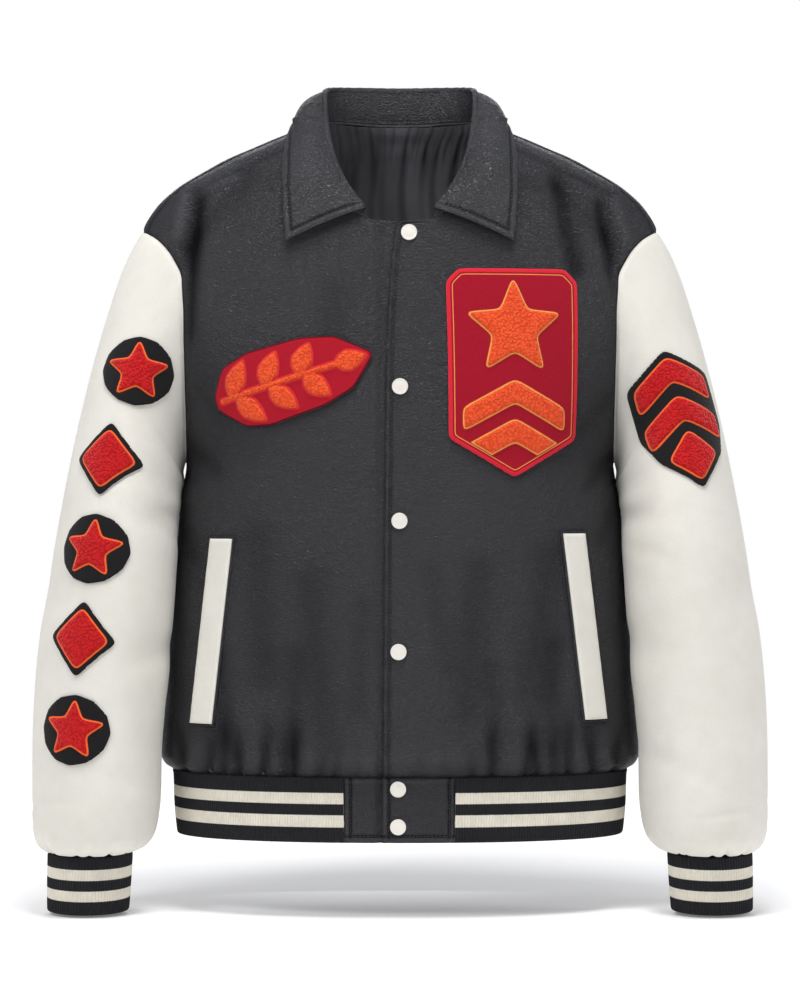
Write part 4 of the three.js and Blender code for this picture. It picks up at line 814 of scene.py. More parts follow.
class Effects:
    """The node groups that the materials share."""

    def __init__(self) -> None:
        """Build each group once."""
        self.grain = self.build_grain()
        self.fibres = self.build_fibres()
        self.cloud = self.build_cloud()
        self.band = self.build_band()

    @staticmethod
    def build_grain() -> NodeTree:
        """Pebbles and short crinkles of leather."""
        inputs = {"Vector": None, "Pebbles": 420.0, "Crinkles": 95.0, "Wrinkles": 120.0}
        tree, shader, ins, outs = effect_group("leather grain", inputs, ("Height", "Pits"))
        place = ins.outputs["Vector"]
        bend = shader.add("TexNoise", {"Vector": place, "Scale": 160.0, "Detail": 2.0})
        shift = shader.add("VectorMath", {0: bend.outputs["Color"], 3: 0.004}, operation="SCALE").outputs[0]
        moved = shader.add("VectorMath", {0: place, 1: shift}, operation="ADD").outputs[0]
        pebble, crease = (
            shader.add("TexVoronoi", {"Vector": moved, "Scale": ins.outputs[name]}, feature="DISTANCE_TO_EDGE")
            for name in ("Pebbles", "Crinkles")
        )
        broken = shader.add("TexNoise", {"Vector": place, "Scale": 22.0, "Detail": 3.0})
        pebbles = shader.remap(pebble.outputs["Distance"], 0.0, 0.22, 0.0, 1.0)
        creases = shader.remap(crease.outputs["Distance"], 0.0, 0.05, 0.0, 1.0)
        shown = shader.remap(broken.outputs[0], 0.42, 0.62, 0.0, 1.0)
        lifted = shader.math("MAXIMUM", creases, shader.math("SUBTRACT", 1.0, shown))
        flat = shader.add("VectorMath", {0: moved, 1: (1.0, 1.0, 1.9)}, operation="MULTIPLY").outputs[0]
        soft = shader.add(
            "TexNoise", {"Vector": flat, "Scale": ins.outputs["Wrinkles"], "Detail": 3.0, "Distortion": 0.7}
        )
        folded = shader.math("ABSOLUTE", shader.math("SUBTRACT", soft.outputs[0], 0.5))
        wrinkles = shader.remap(folded, 0.0, 0.16, 0.0, 1.0)
        height = shader.math("MULTIPLY", pebbles, 0.22)
        for part, share in ((lifted, 0.3), (wrinkles, 0.8)):
            height = shader.math("ADD", height, shader.math("MULTIPLY", part, share))
        shader.link(height, outs.inputs["Height"])
        smooth = shader.math("MULTIPLY", shader.math("MULTIPLY", pebbles, lifted), wrinkles)
        shader.link(shader.math("SUBTRACT", 1.0, smooth), outs.inputs["Pits"])
        return tree

    @staticmethod
    def build_fibres() -> NodeTree:
        """Matted or looped fibres of felt, chenille and knit."""
        inputs = {"Vector": None, "Scale": 900.0, "Loops": 300.0}
        tree, shader, ins, outs = effect_group("fibres", inputs, ("Height", "Mottle", "Hollows"))
        place, scale = ins.outputs["Vector"], ins.outputs["Scale"]
        fine = shader.add("TexNoise", {"Vector": place, "Scale": scale, "Detail": 4.0, "Distortion": 0.8})
        loops = shader.add("TexVoronoi", {"Vector": place, "Scale": ins.outputs["Loops"]})
        coarse = shader.math("MULTIPLY", scale, 0.07)
        mottle = shader.add("TexNoise", {"Vector": place, "Scale": coarse, "Detail": 5.0})
        height = shader.math("ADD", fine.outputs[0], shader.math("MULTIPLY", loops.outputs["Distance"], -0.7))
        shader.link(height, outs.inputs["Height"])
        shader.link(shader.remap(loops.outputs["Distance"], 0.3, 0.75, 0.0, 1.0), outs.inputs["Hollows"])
        blend = shader.math("MULTIPLY_ADD", mottle.outputs[0], 0.6)
        blend.node.inputs[2].default_value = 0.0
        mixed = shader.math("ADD", blend, shader.math("MULTIPLY", fine.outputs[0], 0.4), clamp=True)
        shader.link(mixed, outs.inputs["Mottle"])
        return tree

    @staticmethod
    def build_cloud() -> NodeTree:
        """Slow changes over a surface, between two values."""
        inputs = {"Vector": None, "Scale": 9.0, "Low": 0.0, "High": 1.0}
        tree, shader, ins, outs = effect_group("cloud", inputs, ("Value",))
        place, scale, low, high = (ins.outputs[name] for name in ("Vector", "Scale", "Low", "High"))
        noise = shader.add("TexNoise", {"Vector": place, "Scale": scale, "Detail": 3.0})
        shader.link(shader.remap(noise.outputs[0], 0.35, 0.65, low, high), outs.inputs["Value"])
        return tree

    @staticmethod
    def build_band() -> NodeTree:
        """A band of a value between two limits, with soft sides."""
        inputs = {"Value": 0.0, "From": 0.0, "To": 1.0, "Soft": 0.1}
        tree, shader, ins, outs = effect_group("band", inputs, ("Mask",))
        value, low, high, soft = (ins.outputs[name] for name in ("Value", "From", "To", "Soft"))
        up = shader.math("DIVIDE", shader.math("SUBTRACT", value, low), soft)
        down = shader.math("DIVIDE", shader.math("SUBTRACT", high, value), soft)
        rise = shader.math("ADD", up, 0.5, clamp=True)
        fall = shader.math("ADD", down, 0.5, clamp=True)
        shader.link(shader.math("MULTIPLY", rise, fall), outs.inputs["Mask"])
        return tree


@dataclass(frozen=True)
class Finish:
    """A material with its Principled shader, by its constant values."""

    name: str
    roughness: float = 0.5
    specular: float = 0.5
    sheen: float = 0.0
    sheen_roughness: float = 0.4
    sheen_tint: Colour = (1.0, 1.0, 1.0)
    coat: float = 0.0
    coat_roughness: float = 0.2
    bump: float = 0.3
    bump_mm: float = 0.5

    def start(self) -> tuple[Material, Shader, Node]:
        """Return a new material, its shader helper and its Principled node with the constants set."""
        material = bpy.data.materials.new(self.name)
        material.use_nodes = True
        shader = Shader(material.node_tree)
        body = material.node_tree.nodes["Principled BSDF"]
        constants = {
            "Roughness": self.roughness, "Specular IOR Level": self.specular, "Sheen Weight": self.sheen,
            "Sheen Roughness": self.sheen_roughness, "Sheen Tint": (*self.sheen_tint, 1.0),
            "Coat Weight": self.coat, "Coat Roughness": self.coat_roughness,
        }
        for name, value in constants.items():
            body.inputs[name].default_value = value
        return material, shader, body

    def relief(self, shader: Shader, body: Node, height: Socket) -> None:
        """Feed a height to the shader's normal."""
        inputs = {"Strength": self.bump, "Distance": self.bump_mm * MM, "Height": height}
        shader.link(shader.add("Bump", inputs).outputs[0], body.inputs["Normal"])

    def shade_folds(self, shader: Shader, body: Node, colour: Socket, ridge: Colour) -> Socket:
        """Paint shade into the colour and dull the gloss in the attribute's folds, paint a highlight on its
        ridges, and return the colour.
        """
        # The fold attribute's positive part is painted shade, its negative part a painted highlight
        fold = shader.attribute("fold")
        hollow = shader.math("MULTIPLY", fold, 0.85, True)
        gloss = shader.math("MULTIPLY", shader.math("SUBTRACT", 1.0, hollow), self.specular)
        shader.link(gloss, body.inputs["Specular IOR Level"])
        lit = shader.mix(shader.math("MULTIPLY", fold, -1.0, True), colour, ridge)
        return shader.mix(hollow, lit, DEEP_SHADE)


@dataclass(frozen=True)
class LeatherFinish(Finish):
    """Grained leather with slow changes of gloss."""

    dark: Colour = (0.0085, 0.0086, 0.0135)
    light: Colour = (0.017, 0.0172, 0.0235)
    pebbles: float = 520.0
    crinkles: float = 150.0
    wrinkles: float = 230.0

    def material(self, effects: Effects) -> Material:
        """Build the material."""
        material, shader, body = self.start()
        place = shader.add("TexCoord").outputs["Object"]
        scales = {"Pebbles": self.pebbles, "Crinkles": self.crinkles, "Wrinkles": self.wrinkles}
        grain = shader.group(effects.grain, Vector=place, **scales)
        cloud = shader.group(effects.cloud, Vector=place, Scale=11.0, Low=0.0, High=1.0)
        colour = shader.mix(cloud.outputs["Value"], self.dark, self.light)
        # Painted shade where the grain's height is low, in its pits and crinkles
        pit_shaded = shader.mix(shader.math("MULTIPLY", grain.outputs["Pits"], 0.55), colour, PAINTED_PIT_SHADE)
        # Painted shade in the folds and painted highlight on the ridges
        shaded = self.shade_folds(shader, body, pit_shaded, LIT_RIDGE)
        shader.link(shaded, body.inputs["Base Color"])
        rough = self.roughness - 0.06
        for part, share in ((cloud.outputs["Value"], 0.08), (grain.outputs["Pits"], 0.14)):
            rough = shader.math("ADD", rough, shader.math("MULTIPLY", part, share))
        shader.link(rough, body.inputs["Roughness"])
        self.relief(shader, body, grain.outputs["Height"])
        return material


@dataclass(frozen=True)
class FeltFinish(Finish):
    """Matted wool in two near shades."""

    dark: Colour = (0.66, 0.635, 0.565)
    light: Colour = (0.78, 0.76, 0.70)
    scale: float = 900.0

    def material(self, effects: Effects) -> Material:
        """Build the material."""
        material, shader, body = self.start()
        place = shader.add("TexCoord").outputs["Object"]
        fibres = shader.group(effects.fibres, Vector=place, Scale=self.scale, Loops=260.0)
        cloud = shader.group(effects.cloud, Vector=place, Scale=14.0, Low=0.25, High=0.75)
        slow = shader.math("ADD", cloud.outputs["Value"], 0.5)
        share = shader.math("MULTIPLY", fibres.outputs["Mottle"], slow, True)
        shader.link(shader.mix(share, self.dark, self.light), body.inputs["Base Color"])
        self.relief(shader, body, fibres.outputs["Height"])
        return material


@dataclass(frozen=True)
class RibFinish(Finish):
    """Rib knit with two light stripes at shares of the band's height."""

    roughness: float = 0.9
    specular: float = 0.25
    sheen: float = 0.05
    bump: float = 0.4
    bump_mm: float = 0.3
    ground: Colour = (0.0145, 0.0145, 0.0175)
    stripe: Colour = (0.74, 0.70, 0.60)
    stripes: tuple[tuple[float, float], ...] = ((0.233, 0.404), (0.575, 0.761))
    loops: float = 34.0

    def material(self, effects: Effects) -> Material:
        """Build the material."""
        material, shader, body = self.start()
        coordinates = shader.add("TexCoord")
        down = shader.add("SeparateXYZ", {0: coordinates.outputs["UV"]}).outputs["Y"]
        mask = None
        for low, high in self.stripes:
            band = shader.group(effects.band, Value=down, From=low, To=high, Soft=0.008).outputs[0]
            mask = band if mask is None else shader.math("MAXIMUM", mask, band)
        fibres = shader.group(effects.fibres, Vector=coordinates.outputs["Object"], Scale=1100.0, Loops=500.0)
        shade = shader.math("MULTIPLY_ADD", fibres.outputs["Mottle"], 0.5)
        shade.node.inputs[2].default_value = 0.72
        yarn = shader.mix(mask, self.ground, self.stripe)
        grey = shader.add("CombineColor", {0: shade, 1: shade, 2: shade}).outputs[0]
        toned = shader.add("Mix", {0: 1.0, 6: yarn, 7: grey}, data_type="RGBA", blend_type="MULTIPLY")
        shader.link(toned.outputs[2], body.inputs["Base Color"])
        loops = shader.math("SINE", shader.math("MULTIPLY", down, self.loops * 2 * math.pi))
        height = shader.math("ADD", shader.math("MULTIPLY", loops, 0.28), fibres.outputs["Height"])
        self.relief(shader, body, height)
        return material


@dataclass(frozen=True)
class PlainFinish(Finish):
    """Satin, thread or enamel: two near shades with a fine relief, with painted shade in folds and painted
    highlight on ridges where the mesh carries a fold attribute.
    """

    dark: Colour = (0.03, 0.03, 0.034)
    light: Colour = (0.04, 0.04, 0.045)
    scale: float = 1200.0

    def material(self, effects: Effects) -> Material:
        """Build the material."""
        material, shader, body = self.start()
        place = shader.add("TexCoord").outputs["Object"]
        fibres = shader.group(effects.fibres, Vector=place, Scale=self.scale, Loops=self.scale / 2)
        colour = shader.mix(fibres.outputs["Mottle"], self.dark, self.light)
        # Painted shade in the folds and the lighter tone painted as a highlight on the ridges
        shader.link(self.shade_folds(shader, body, colour, self.light), body.inputs["Base Color"])
        self.relief(shader, body, fibres.outputs["Height"])
        return material


@dataclass(frozen=True)
class PatchFinish(Finish):
    """Felt backing with a border, a thin line and raised pile, told apart by distances kept on the mesh."""

    roughness: float = 1.0
    specular: float = 0.15
    sheen: float = 0.2
    bump: float = 0.7
    bump_mm: float = 0.9
    felt: Colour = (0.34, 0.006, 0.02)
    border: Colour = (0.64, 0.02, 0.04)
    border_to: float = 3.6
    line: Colour = (0.80, 0.30, 0.07)
    line_from: float = 5.2
    line_to: float = 6.0
    rim: Colour = (0.80, 0.30, 0.07)
    rim_width: float = 1.2
    pile: Colour = (0.90, 0.105, 0.03)
    pile_dark: Colour = (0.62, 0.045, 0.012)
    loops: float = 400.0

    def material(self, effects: Effects) -> Material:
        """Build the material."""
        material, shader, body = self.start()
        place = shader.add("TexCoord").outputs["Object"]
        edge, inside = shader.attribute("edge"), shader.attribute("pile")
        fibres = shader.group(effects.fibres, Vector=place, Scale=700.0, Loops=420.0)

        def band(value: Socket, low: float, high: float, soft: float) -> Socket:
            """Return the mask of a value between two limits."""
            return shader.group(effects.band, Value=value, From=low, To=high, Soft=soft).outputs[0]

        colour = shader.mix(band(edge, FAR_OUTSIDE, self.border_to, 0.35), self.felt, self.border)
        colour = shader.mix(band(edge, self.line_from, self.line_to, 0.3), colour, self.line)
        colour = shader.mix(band(inside, -self.rim_width, 0.3, 0.35), colour, self.rim)
        curls = shader.group(effects.fibres, Vector=place, Scale=1300.0, Loops=self.loops)
        # Painted shade in the hollows between the chenille's loops
        pile = shader.mix(shader.math("MULTIPLY", curls.outputs["Hollows"], 0.65), self.pile, self.pile_dark)
        # Random darker tone of the pile
        pile = shader.mix(shader.remap(fibres.outputs["Mottle"], 0.3, 0.5, 0.3, 0.0), pile, self.pile_dark)
        on_pile = band(inside, 0.3, FAR_INSIDE, 0.3)
        colour = shader.mix(on_pile, colour, pile)
        shader.link(colour, body.inputs["Base Color"])
        curl_height = shader.math("MULTIPLY", curls.outputs["Hollows"], -1.6)
        curl_height = shader.math("MULTIPLY", curl_height, on_pile)
        felt_height = shader.math("MULTIPLY", fibres.outputs["Height"], 0.5)
        self.relief(shader, body, shader.math("ADD", felt_height, curl_height))
        return material


BLACK = (0.012, 0.011, 0.012)
RED = (0.60, 0.014, 0.016)
ORANGE_EDGE = (0.86, 0.13, 0.03)
FINISHES = {
    "leather": LeatherFinish("black_leather", roughness=0.4, bump=0.9, bump_mm=1.0),
    # A copy of the black leather painted lighter for the sheen that the collar, stand and piping catch
    "collar_leather": LeatherFinish(
        "collar_leather", roughness=0.4, bump=0.9, bump_mm=0.85, dark=(0.019, 0.0195, 0.0245),
        light=(0.042, 0.0425, 0.05), pebbles=330.0, crinkles=190.0, wrinkles=240.0,
    ),
    "felt": FeltFinish("ivory_felt", roughness=0.95, specular=0.2, sheen=0.15, bump=0.35, bump_mm=0.35),
    "hem_rib": RibFinish("hem_rib_knit"),
    "cuff_rib": RibFinish("cuff_rib_knit", stripes=((0.215, 0.4), (0.585, 0.765))),
    "satin": PlainFinish(
        "charcoal_satin", roughness=0.36, sheen=0.3, bump=0.08, bump_mm=0.15, dark=(0.105, 0.105, 0.116),
        light=(0.14, 0.14, 0.153),
    ),
    "dark_thread": PlainFinish(
        "dark_thread", roughness=0.55, dark=(0.016, 0.016, 0.018), light=(0.03, 0.03, 0.034)
    ),
    "snap": PlainFinish(
        "snap_enamel", roughness=0.28, coat=0.35, bump=0.03, bump_mm=0.1, dark=(0.78, 0.74, 0.67),
        light=(0.84, 0.80, 0.73), scale=300.0,
    ),
    "chest_shield": PatchFinish("shield_chenille"),
    "chest_sprig": PatchFinish(
        "sprig_chenille", felt=(0.40, 0.008, 0.02), border=(0.10, 0.004, 0.01), border_to=1.6, line_from=-5.0,
        line_to=-4.0, rim=(0.62, 0.03, 0.03), rim_width=1.4,
    ),
    "sleeve_motif": PatchFinish(
        "sleeve_chenille", felt=BLACK, border=BLACK, line_from=-5.0, line_to=-4.0, rim=ORANGE_EDGE,
        rim_width=1.3, pile=RED, pile_dark=(0.34, 0.005, 0.007),
    ),
}


class Wardrobe:
    """All the materials, made once and handed out by name."""

    def __init__(self) -> None:
        """Build the shared effects."""
        self.effects = Effects()
        self.made: dict[str, Material] = {}

    def __getitem__(self, name: str) -> Material:
        """Return a material, which is built when it is first asked for."""
        if name not in self.made:
            self.made[name] = FINISHES[name].material(self.effects)
        return self.made[name]


class Held(Enum):
    GATHERED = "gathered"
    FOLDED = "folded"
    HUNG = "hung"
    LAID = "laid"
    STRETCHED = "stretched"


def declare_sheet(
    piece: Piece, width_mm: float, length_mm: float, area_m2: float, held: Held, rests_on: Sequence[str]
) -> None:
    """Work out a sheet's box from its widest and longest, and keep nothing."""
    box = width_mm * length_mm * MM * MM
    width_mm * MM
    length_mm * MM


def grid_area(grid: Array, closed: bool = False) -> float:
    """Return the area of a grid of points in square metres."""
    if closed:
        grid = np.concatenate([grid, grid[:, :1]], axis=1)
    a, b, c, d = grid[:-1, :-1], grid[:-1, 1:], grid[1:, 1:], grid[1:, :-1]
    first = np.linalg.norm(np.cross(b - a, c - a), axis=-1)
    second = np.linalg.norm(np.cross(c - a, d - a), axis=-1)
    return float((first + second).sum() / 2) * MM * MM


# The jacket's pieces


class CollarForm:
    """Collar by stations: 0 at the wearer's left front end, 10 in the middle behind, 20 at the right end."""

    def __init__(self, body: BodyForm) -> None:
        """Read the table and mirror it past the middle of the back."""
        self.body = body
        self.rows: dict[str, Curve] = {}
        for name in COLLAR.columns:
            column = COLLAR.column(name)
            sign = -1 if name.endswith("_x") else 1
            whole = column + [sign * value for value in column[-2::-1]]
            self.rows[name] = Curve(range(len(whole)), whole)

    def line(self, name: str, station: Array) -> Array:
        """Return the points of the fold or the edge."""
        return point(*(self.rows[f"{name}_{axis}"](station) for axis in "xyz"))

    @staticmethod
    def neck_share(station: Array) -> Array:
        """Return the neckline's share under a station of the +X half."""
        return np.where(station <= 5, (station + 1) / 6, 1 + (station - 5) / 5)

    @staticmethod
    def station_at(share: Array) -> Array:
        """Return the station over a share of the neckline."""
        return np.clip(np.where(share <= 1, 6 * share - 1, 5 + 5 * (share - 1)), 0, 10)

    def frame(self, station: Array) -> tuple[Array, Array, Array]:
        """Return the directions along the fold, up the stand and outwards, on the +X half."""
        along = unit(self.line("fold", station + 1) - self.line("fold", np.maximum(station - 1, 0)))
        angle, z = self.body.neckline_at(self.neck_share(station))
        rise = self.line("fold", station) - self.body.point(angle, z)
        rise = unit(rise - (rise * along).sum(-1, keepdims=True) * along)
        flat = unit(np.cross(self.body.normal(angle, z), along))
        upright = smoothstep(station, 1, 5)[..., None]
        up = unit(flat * (1 - upright) + rise * upright)
        return along, up, unit(np.cross(along, up))

    def neck_inward(self, share: Array) -> Array:
        """Return the direction in which the walls of the neck seam get their thickness."""
        angle, z = self.body.neckline_at(share)
        normal = self.body.normal(angle, z)
        lean = smoothstep(share, 0.02, 1 / 6)[..., None]
        return -unit(normal * (1 - 0.4 * lean) + self.frame(self.station_at(share))[2] * lean)

    def stand_top(self, station: Array) -> Array:
        """Return the inner top edge of the stand."""
        _, up, out = self.frame(station)
        return self.line("fold", station) - out * ROLL_RADIUS - up * STAND_BELOW_FOLD


def clear_of_body(body: BodyForm, points: Array, clearance: float) -> Array:
    """Return points moved away from the body's plain form until they are clear of it."""

    def level(p: Array) -> Array:
        """Return 0 on the form and more outside."""
        x, y, z = p[..., 0], p[..., 1], p[..., 2]
        rows = body.rows
        depth = np.where(y < rows["middle"](z), rows["front"](z), rows["back"](z))
        square = rows["square"](z)
        across = np.abs(x / rows["width"](z)) ** square
        return (across + np.abs((y - rows["middle"](z)) / depth) ** square) ** (1 / square) - 1

    points = points.copy()
    step = 0.5
    for _ in range(6):
        shifts = np.eye(3) * step
        slope = np.stack([(level(points + s) - level(points - s)) / (2 * step) for s in shifts], -1)
        size = np.maximum(np.linalg.norm(slope, axis=-1), 1e-6)
        short = np.maximum(0, clearance - level(points) / size)
        points += slope / size[..., None] * short[..., None]
    return points


class Forms:
    """The forms that the pieces lie on."""

    def __init__(self) -> None:
        """Build the body, the sleeve and the collar."""
        self.body = BodyForm()
        self.sleeve = SleeveForm(self.body)
        self.collar = CollarForm(self.body)


SEAM_REACH = 2.2
PUCKER_DEPTH, PUCKER_REACH, PUCKER_WAVE = 0.42, 8, 10.5


def seam_relief(distance: Array, run: Array, depth: float, start: float) -> Array:
    """Return how far cloth dips towards a seam, with uneven puckers beside it.

    Args:
        distance: Distance from the seam.
        run: Distance along the seam.
        depth: Depth at the seam.
        start: Where the pattern of the puckers starts.

    Returns:
        The depth at each point.
    """
    share = 0.5 + 0.5 * ripple(run, PUCKER_WAVE, start)
    pucker = PUCKER_DEPTH * bumps(distance, 0, PUCKER_REACH) * share
    return depth * bumps(distance, 0, SEAM_REACH) + pucker


GATHER_WIDTH, GATHER_SPREAD, GATHER_LEAN, GATHER_SCALE = 4.2, 4.5, 7, 2.1
PUFF_RISE, PUFF_OUT, PUFF_WAVE = 13, 1.3, 27


def gather_relief(x: Array, z: Array, gathers: Sequence[tuple[float, float, float]]) -> Array:
    """Return the depth of short upright troughs over the waist seam.

    Args:
        x: Place across.
        z: Height.
        gathers: Place, height that it rises, and depth of each one.

    Returns:
        The depth at each point.
    """
    depth = np.zeros(np.broadcast(x, z).shape)
    for number, (place, rise, deep) in enumerate(gathers):
        h = np.clip((z - WAIST_Z) / (rise * 1.25), 0, 1)
        lean = GATHER_LEAN * math.sin(number * 2.3) * h
        width = GATHER_WIDTH + GATHER_SPREAD * h
        depth += GATHER_SCALE * deep * (1 - h) ** 1.4 * (0.7 + 1.6 * h) * bumps(x, place + lean, width)
    puffed = np.exp(-(((z - WAIST_Z - PUFF_RISE) / PUFF_RISE) ** 2))
    return depth - PUFF_OUT * puffed * (0.5 + 0.5 * ripple(x, PUFF_WAVE, 0.9))


def at_distance(grid: Array, runs: Array, distance: float) -> Array:
    """Return the point of each row at a distance along it."""
    rows = []
    for line, run in zip(grid, runs):
        rows.append([np.interp(distance, run, line[:, k]) for k in range(line.shape[1])])
    return np.array(rows)


def stitching(
    name: str, paths: Sequence[tuple[Array, Array]], wardrobe: "Wardrobe", thread: Thread = Thread()
) -> Piece:
    """Make one piece of all the stitches along some paths of points and normals."""
    parts = MeshParts(name)
    for path, normal in paths:
        thread.sew(parts, path, normal)
    return parts.build([wardrobe["dark_thread"]], "leather")


# Creases that the thin shells have beside the solids' large folds, by piece, in the piece's own +X
CREASES = {
    "front_left": (
        (214, -306, 176, -352, 7, 1.3), (219, -336, 190, -404, 8, 1.2), (196, -268, 172, -300, 6, 0.8),
        (90, -604, 84, -520, 9, 1.1), (138, -600, 146, -500, 10, 1.2), (60, -40, 128, -72, 8, 0.9),
        (150, -70, 196, -120, 8, 1.0), (28, -430, 44, -520, 10, 0.7), (148, -64, 164, -150, 9, 2.6),
        (188, -86, 206, -170, 7, 2.8), (204, -84, 215, -128, 5, -1.2), (106, -30, 199, -76, 2.6, 1.5),
        (108, -23, 201, -68, 4, -1.6), (60, -560, 74, -430, 16, 1.2), (140, -420, 128, -540, 18, 1.3),
    ),
    "front_right": (
        (212, -300, 172, -338, 7, 1.3), (221, -342, 196, -420, 9, 1.3), (190, -262, 166, -286, 6, 0.7),
        (102, -602, 96, -508, 10, 1.2), (158, -600, 170, -512, 9, 1.1), (66, -44, 120, -66, 8, 0.8),
        (140, -60, 200, -128, 9, 1.1), (34, -460, 40, -560, 10, 0.8), (190, -80, 203, -210, 9, 3.4),
        (208, -116, 203, -80, 6, -2.4), (198, -76, 158, -60, 6, -1.2), (106, -30, 199, -76, 2.6, 1.5),
        (108, -23, 201, -68, 4, -1.6), (60, -170, 72, -260, 14, 0.8), (70, -580, 84, -440, 16, 1.3),
        (134, -400, 126, -530, 18, 1.2),
    ),
    "back": (
        (206, -300, 160, -350, 8, 1.4), (60, -590, 52, -480, 11, 1.3), (128, -596, 140, -470, 11, 1.5),
        (24, -60, 90, -90, 10, 0.9), (150, -90, 196, -160, 9, 1.2), (20, -420, 60, -300, 14, 1.2),
    ),
}
GATHERS = {
    "front_left": (
        (85, 48, 1.9), (116, 40, 1.7), (128, 56, 2.0), (143, 44, 1.8), (158, 58, 2.0), (182, 50, 2.0),
        (203, 42, 1.6), (66, 30, 1.0),
    ),
    "front_right": (
        (98, 52, 2.0), (107, 40, 1.5), (128, 56, 2.0), (150, 44, 1.8), (165, 58, 2.0), (180, 46, 1.8),
        (204, 44, 1.7), (60, 32, 1.1), (75, 28, 1.0),
    ),
    "back": (
        (14, 44, 1.7), (38, 58, 1.9), (63, 40, 1.6), (84, 62, 2.0), (111, 46, 1.8), (132, 58, 2.0),
        (158, 42, 1.7), (181, 56, 1.9), (203, 44, 1.6),
    ),
}


def crease_relief(name: str, x: Array, z: Array) -> Array:
    """Return the depth of a piece's own creases and gathers."""
    depth = gather_relief(x, z, GATHERS[name])
    for x0, z0, x1, z1, width, deep in CREASES[name]:
        depth = depth + trough(x, z, (x0, z0), (x1, z1), width, deep)
    return depth


@dataclass
class BodyPanel:
    """What the leather panels of the body share: the wall, its seams and its sheet."""

    forms: Forms
    wardrobe: Wardrobe
    low_rows: int = 100
    high_rows: int = 84

    def wall(
        self, name: str, grid: Array, inward: Array, relief: Array, puckers: Array, sheet: dict,
        shade: Array | None = None,
    ) -> Piece:
        """Make the panel's wall and replace its solid.

        Args:
            name: The solid's name.
            grid: Outside without creases.
            inward: Direction of the wall's thickness at each point.
            relief: Depth of the creases, which both sides of the wall follow.
            puckers: Depth of what only the outside shows.
            sheet: The sheet's width, length, how it is held and what it rests on.
            shade: The part of the relief that gets painted shade and highlight, where it isn't all of it.

        Returns:
            The piece.
        """
        base = grid + inward * relief[..., None]
        puckers = np.minimum(puckers, LEATHER - LEAST_WALL)
        outer = base + inward * puckers[..., None]
        inside = base + inward * LEATHER
        rows, columns = grid.shape[0] // 2, grid.shape[1]
        # Painted shade in creases and puckers and painted highlight on ridges, kept as the fold attribute
        fold = np.clip((relief if shade is None else shade) / 4 + puckers / 2.4, -1, 1)
        parts = cloth_wall(name + "_leather", outer, resampled(inside, rows, columns), False, fold=fold)
        piece = parts.replace(name, [self.wardrobe["leather"], self.wardrobe["satin"]], "leather")
        declare_sheet(piece, area_m2=grid_area(base), **sheet)
        return piece

    @staticmethod
    def pull_back(grid: Array) -> None:
        """Draw the last column back by half of the seam's gap, in place."""
        grid[:, -1] += unit(grid[:, -2] - grid[:, -1]) * SEAM_GAP / 2


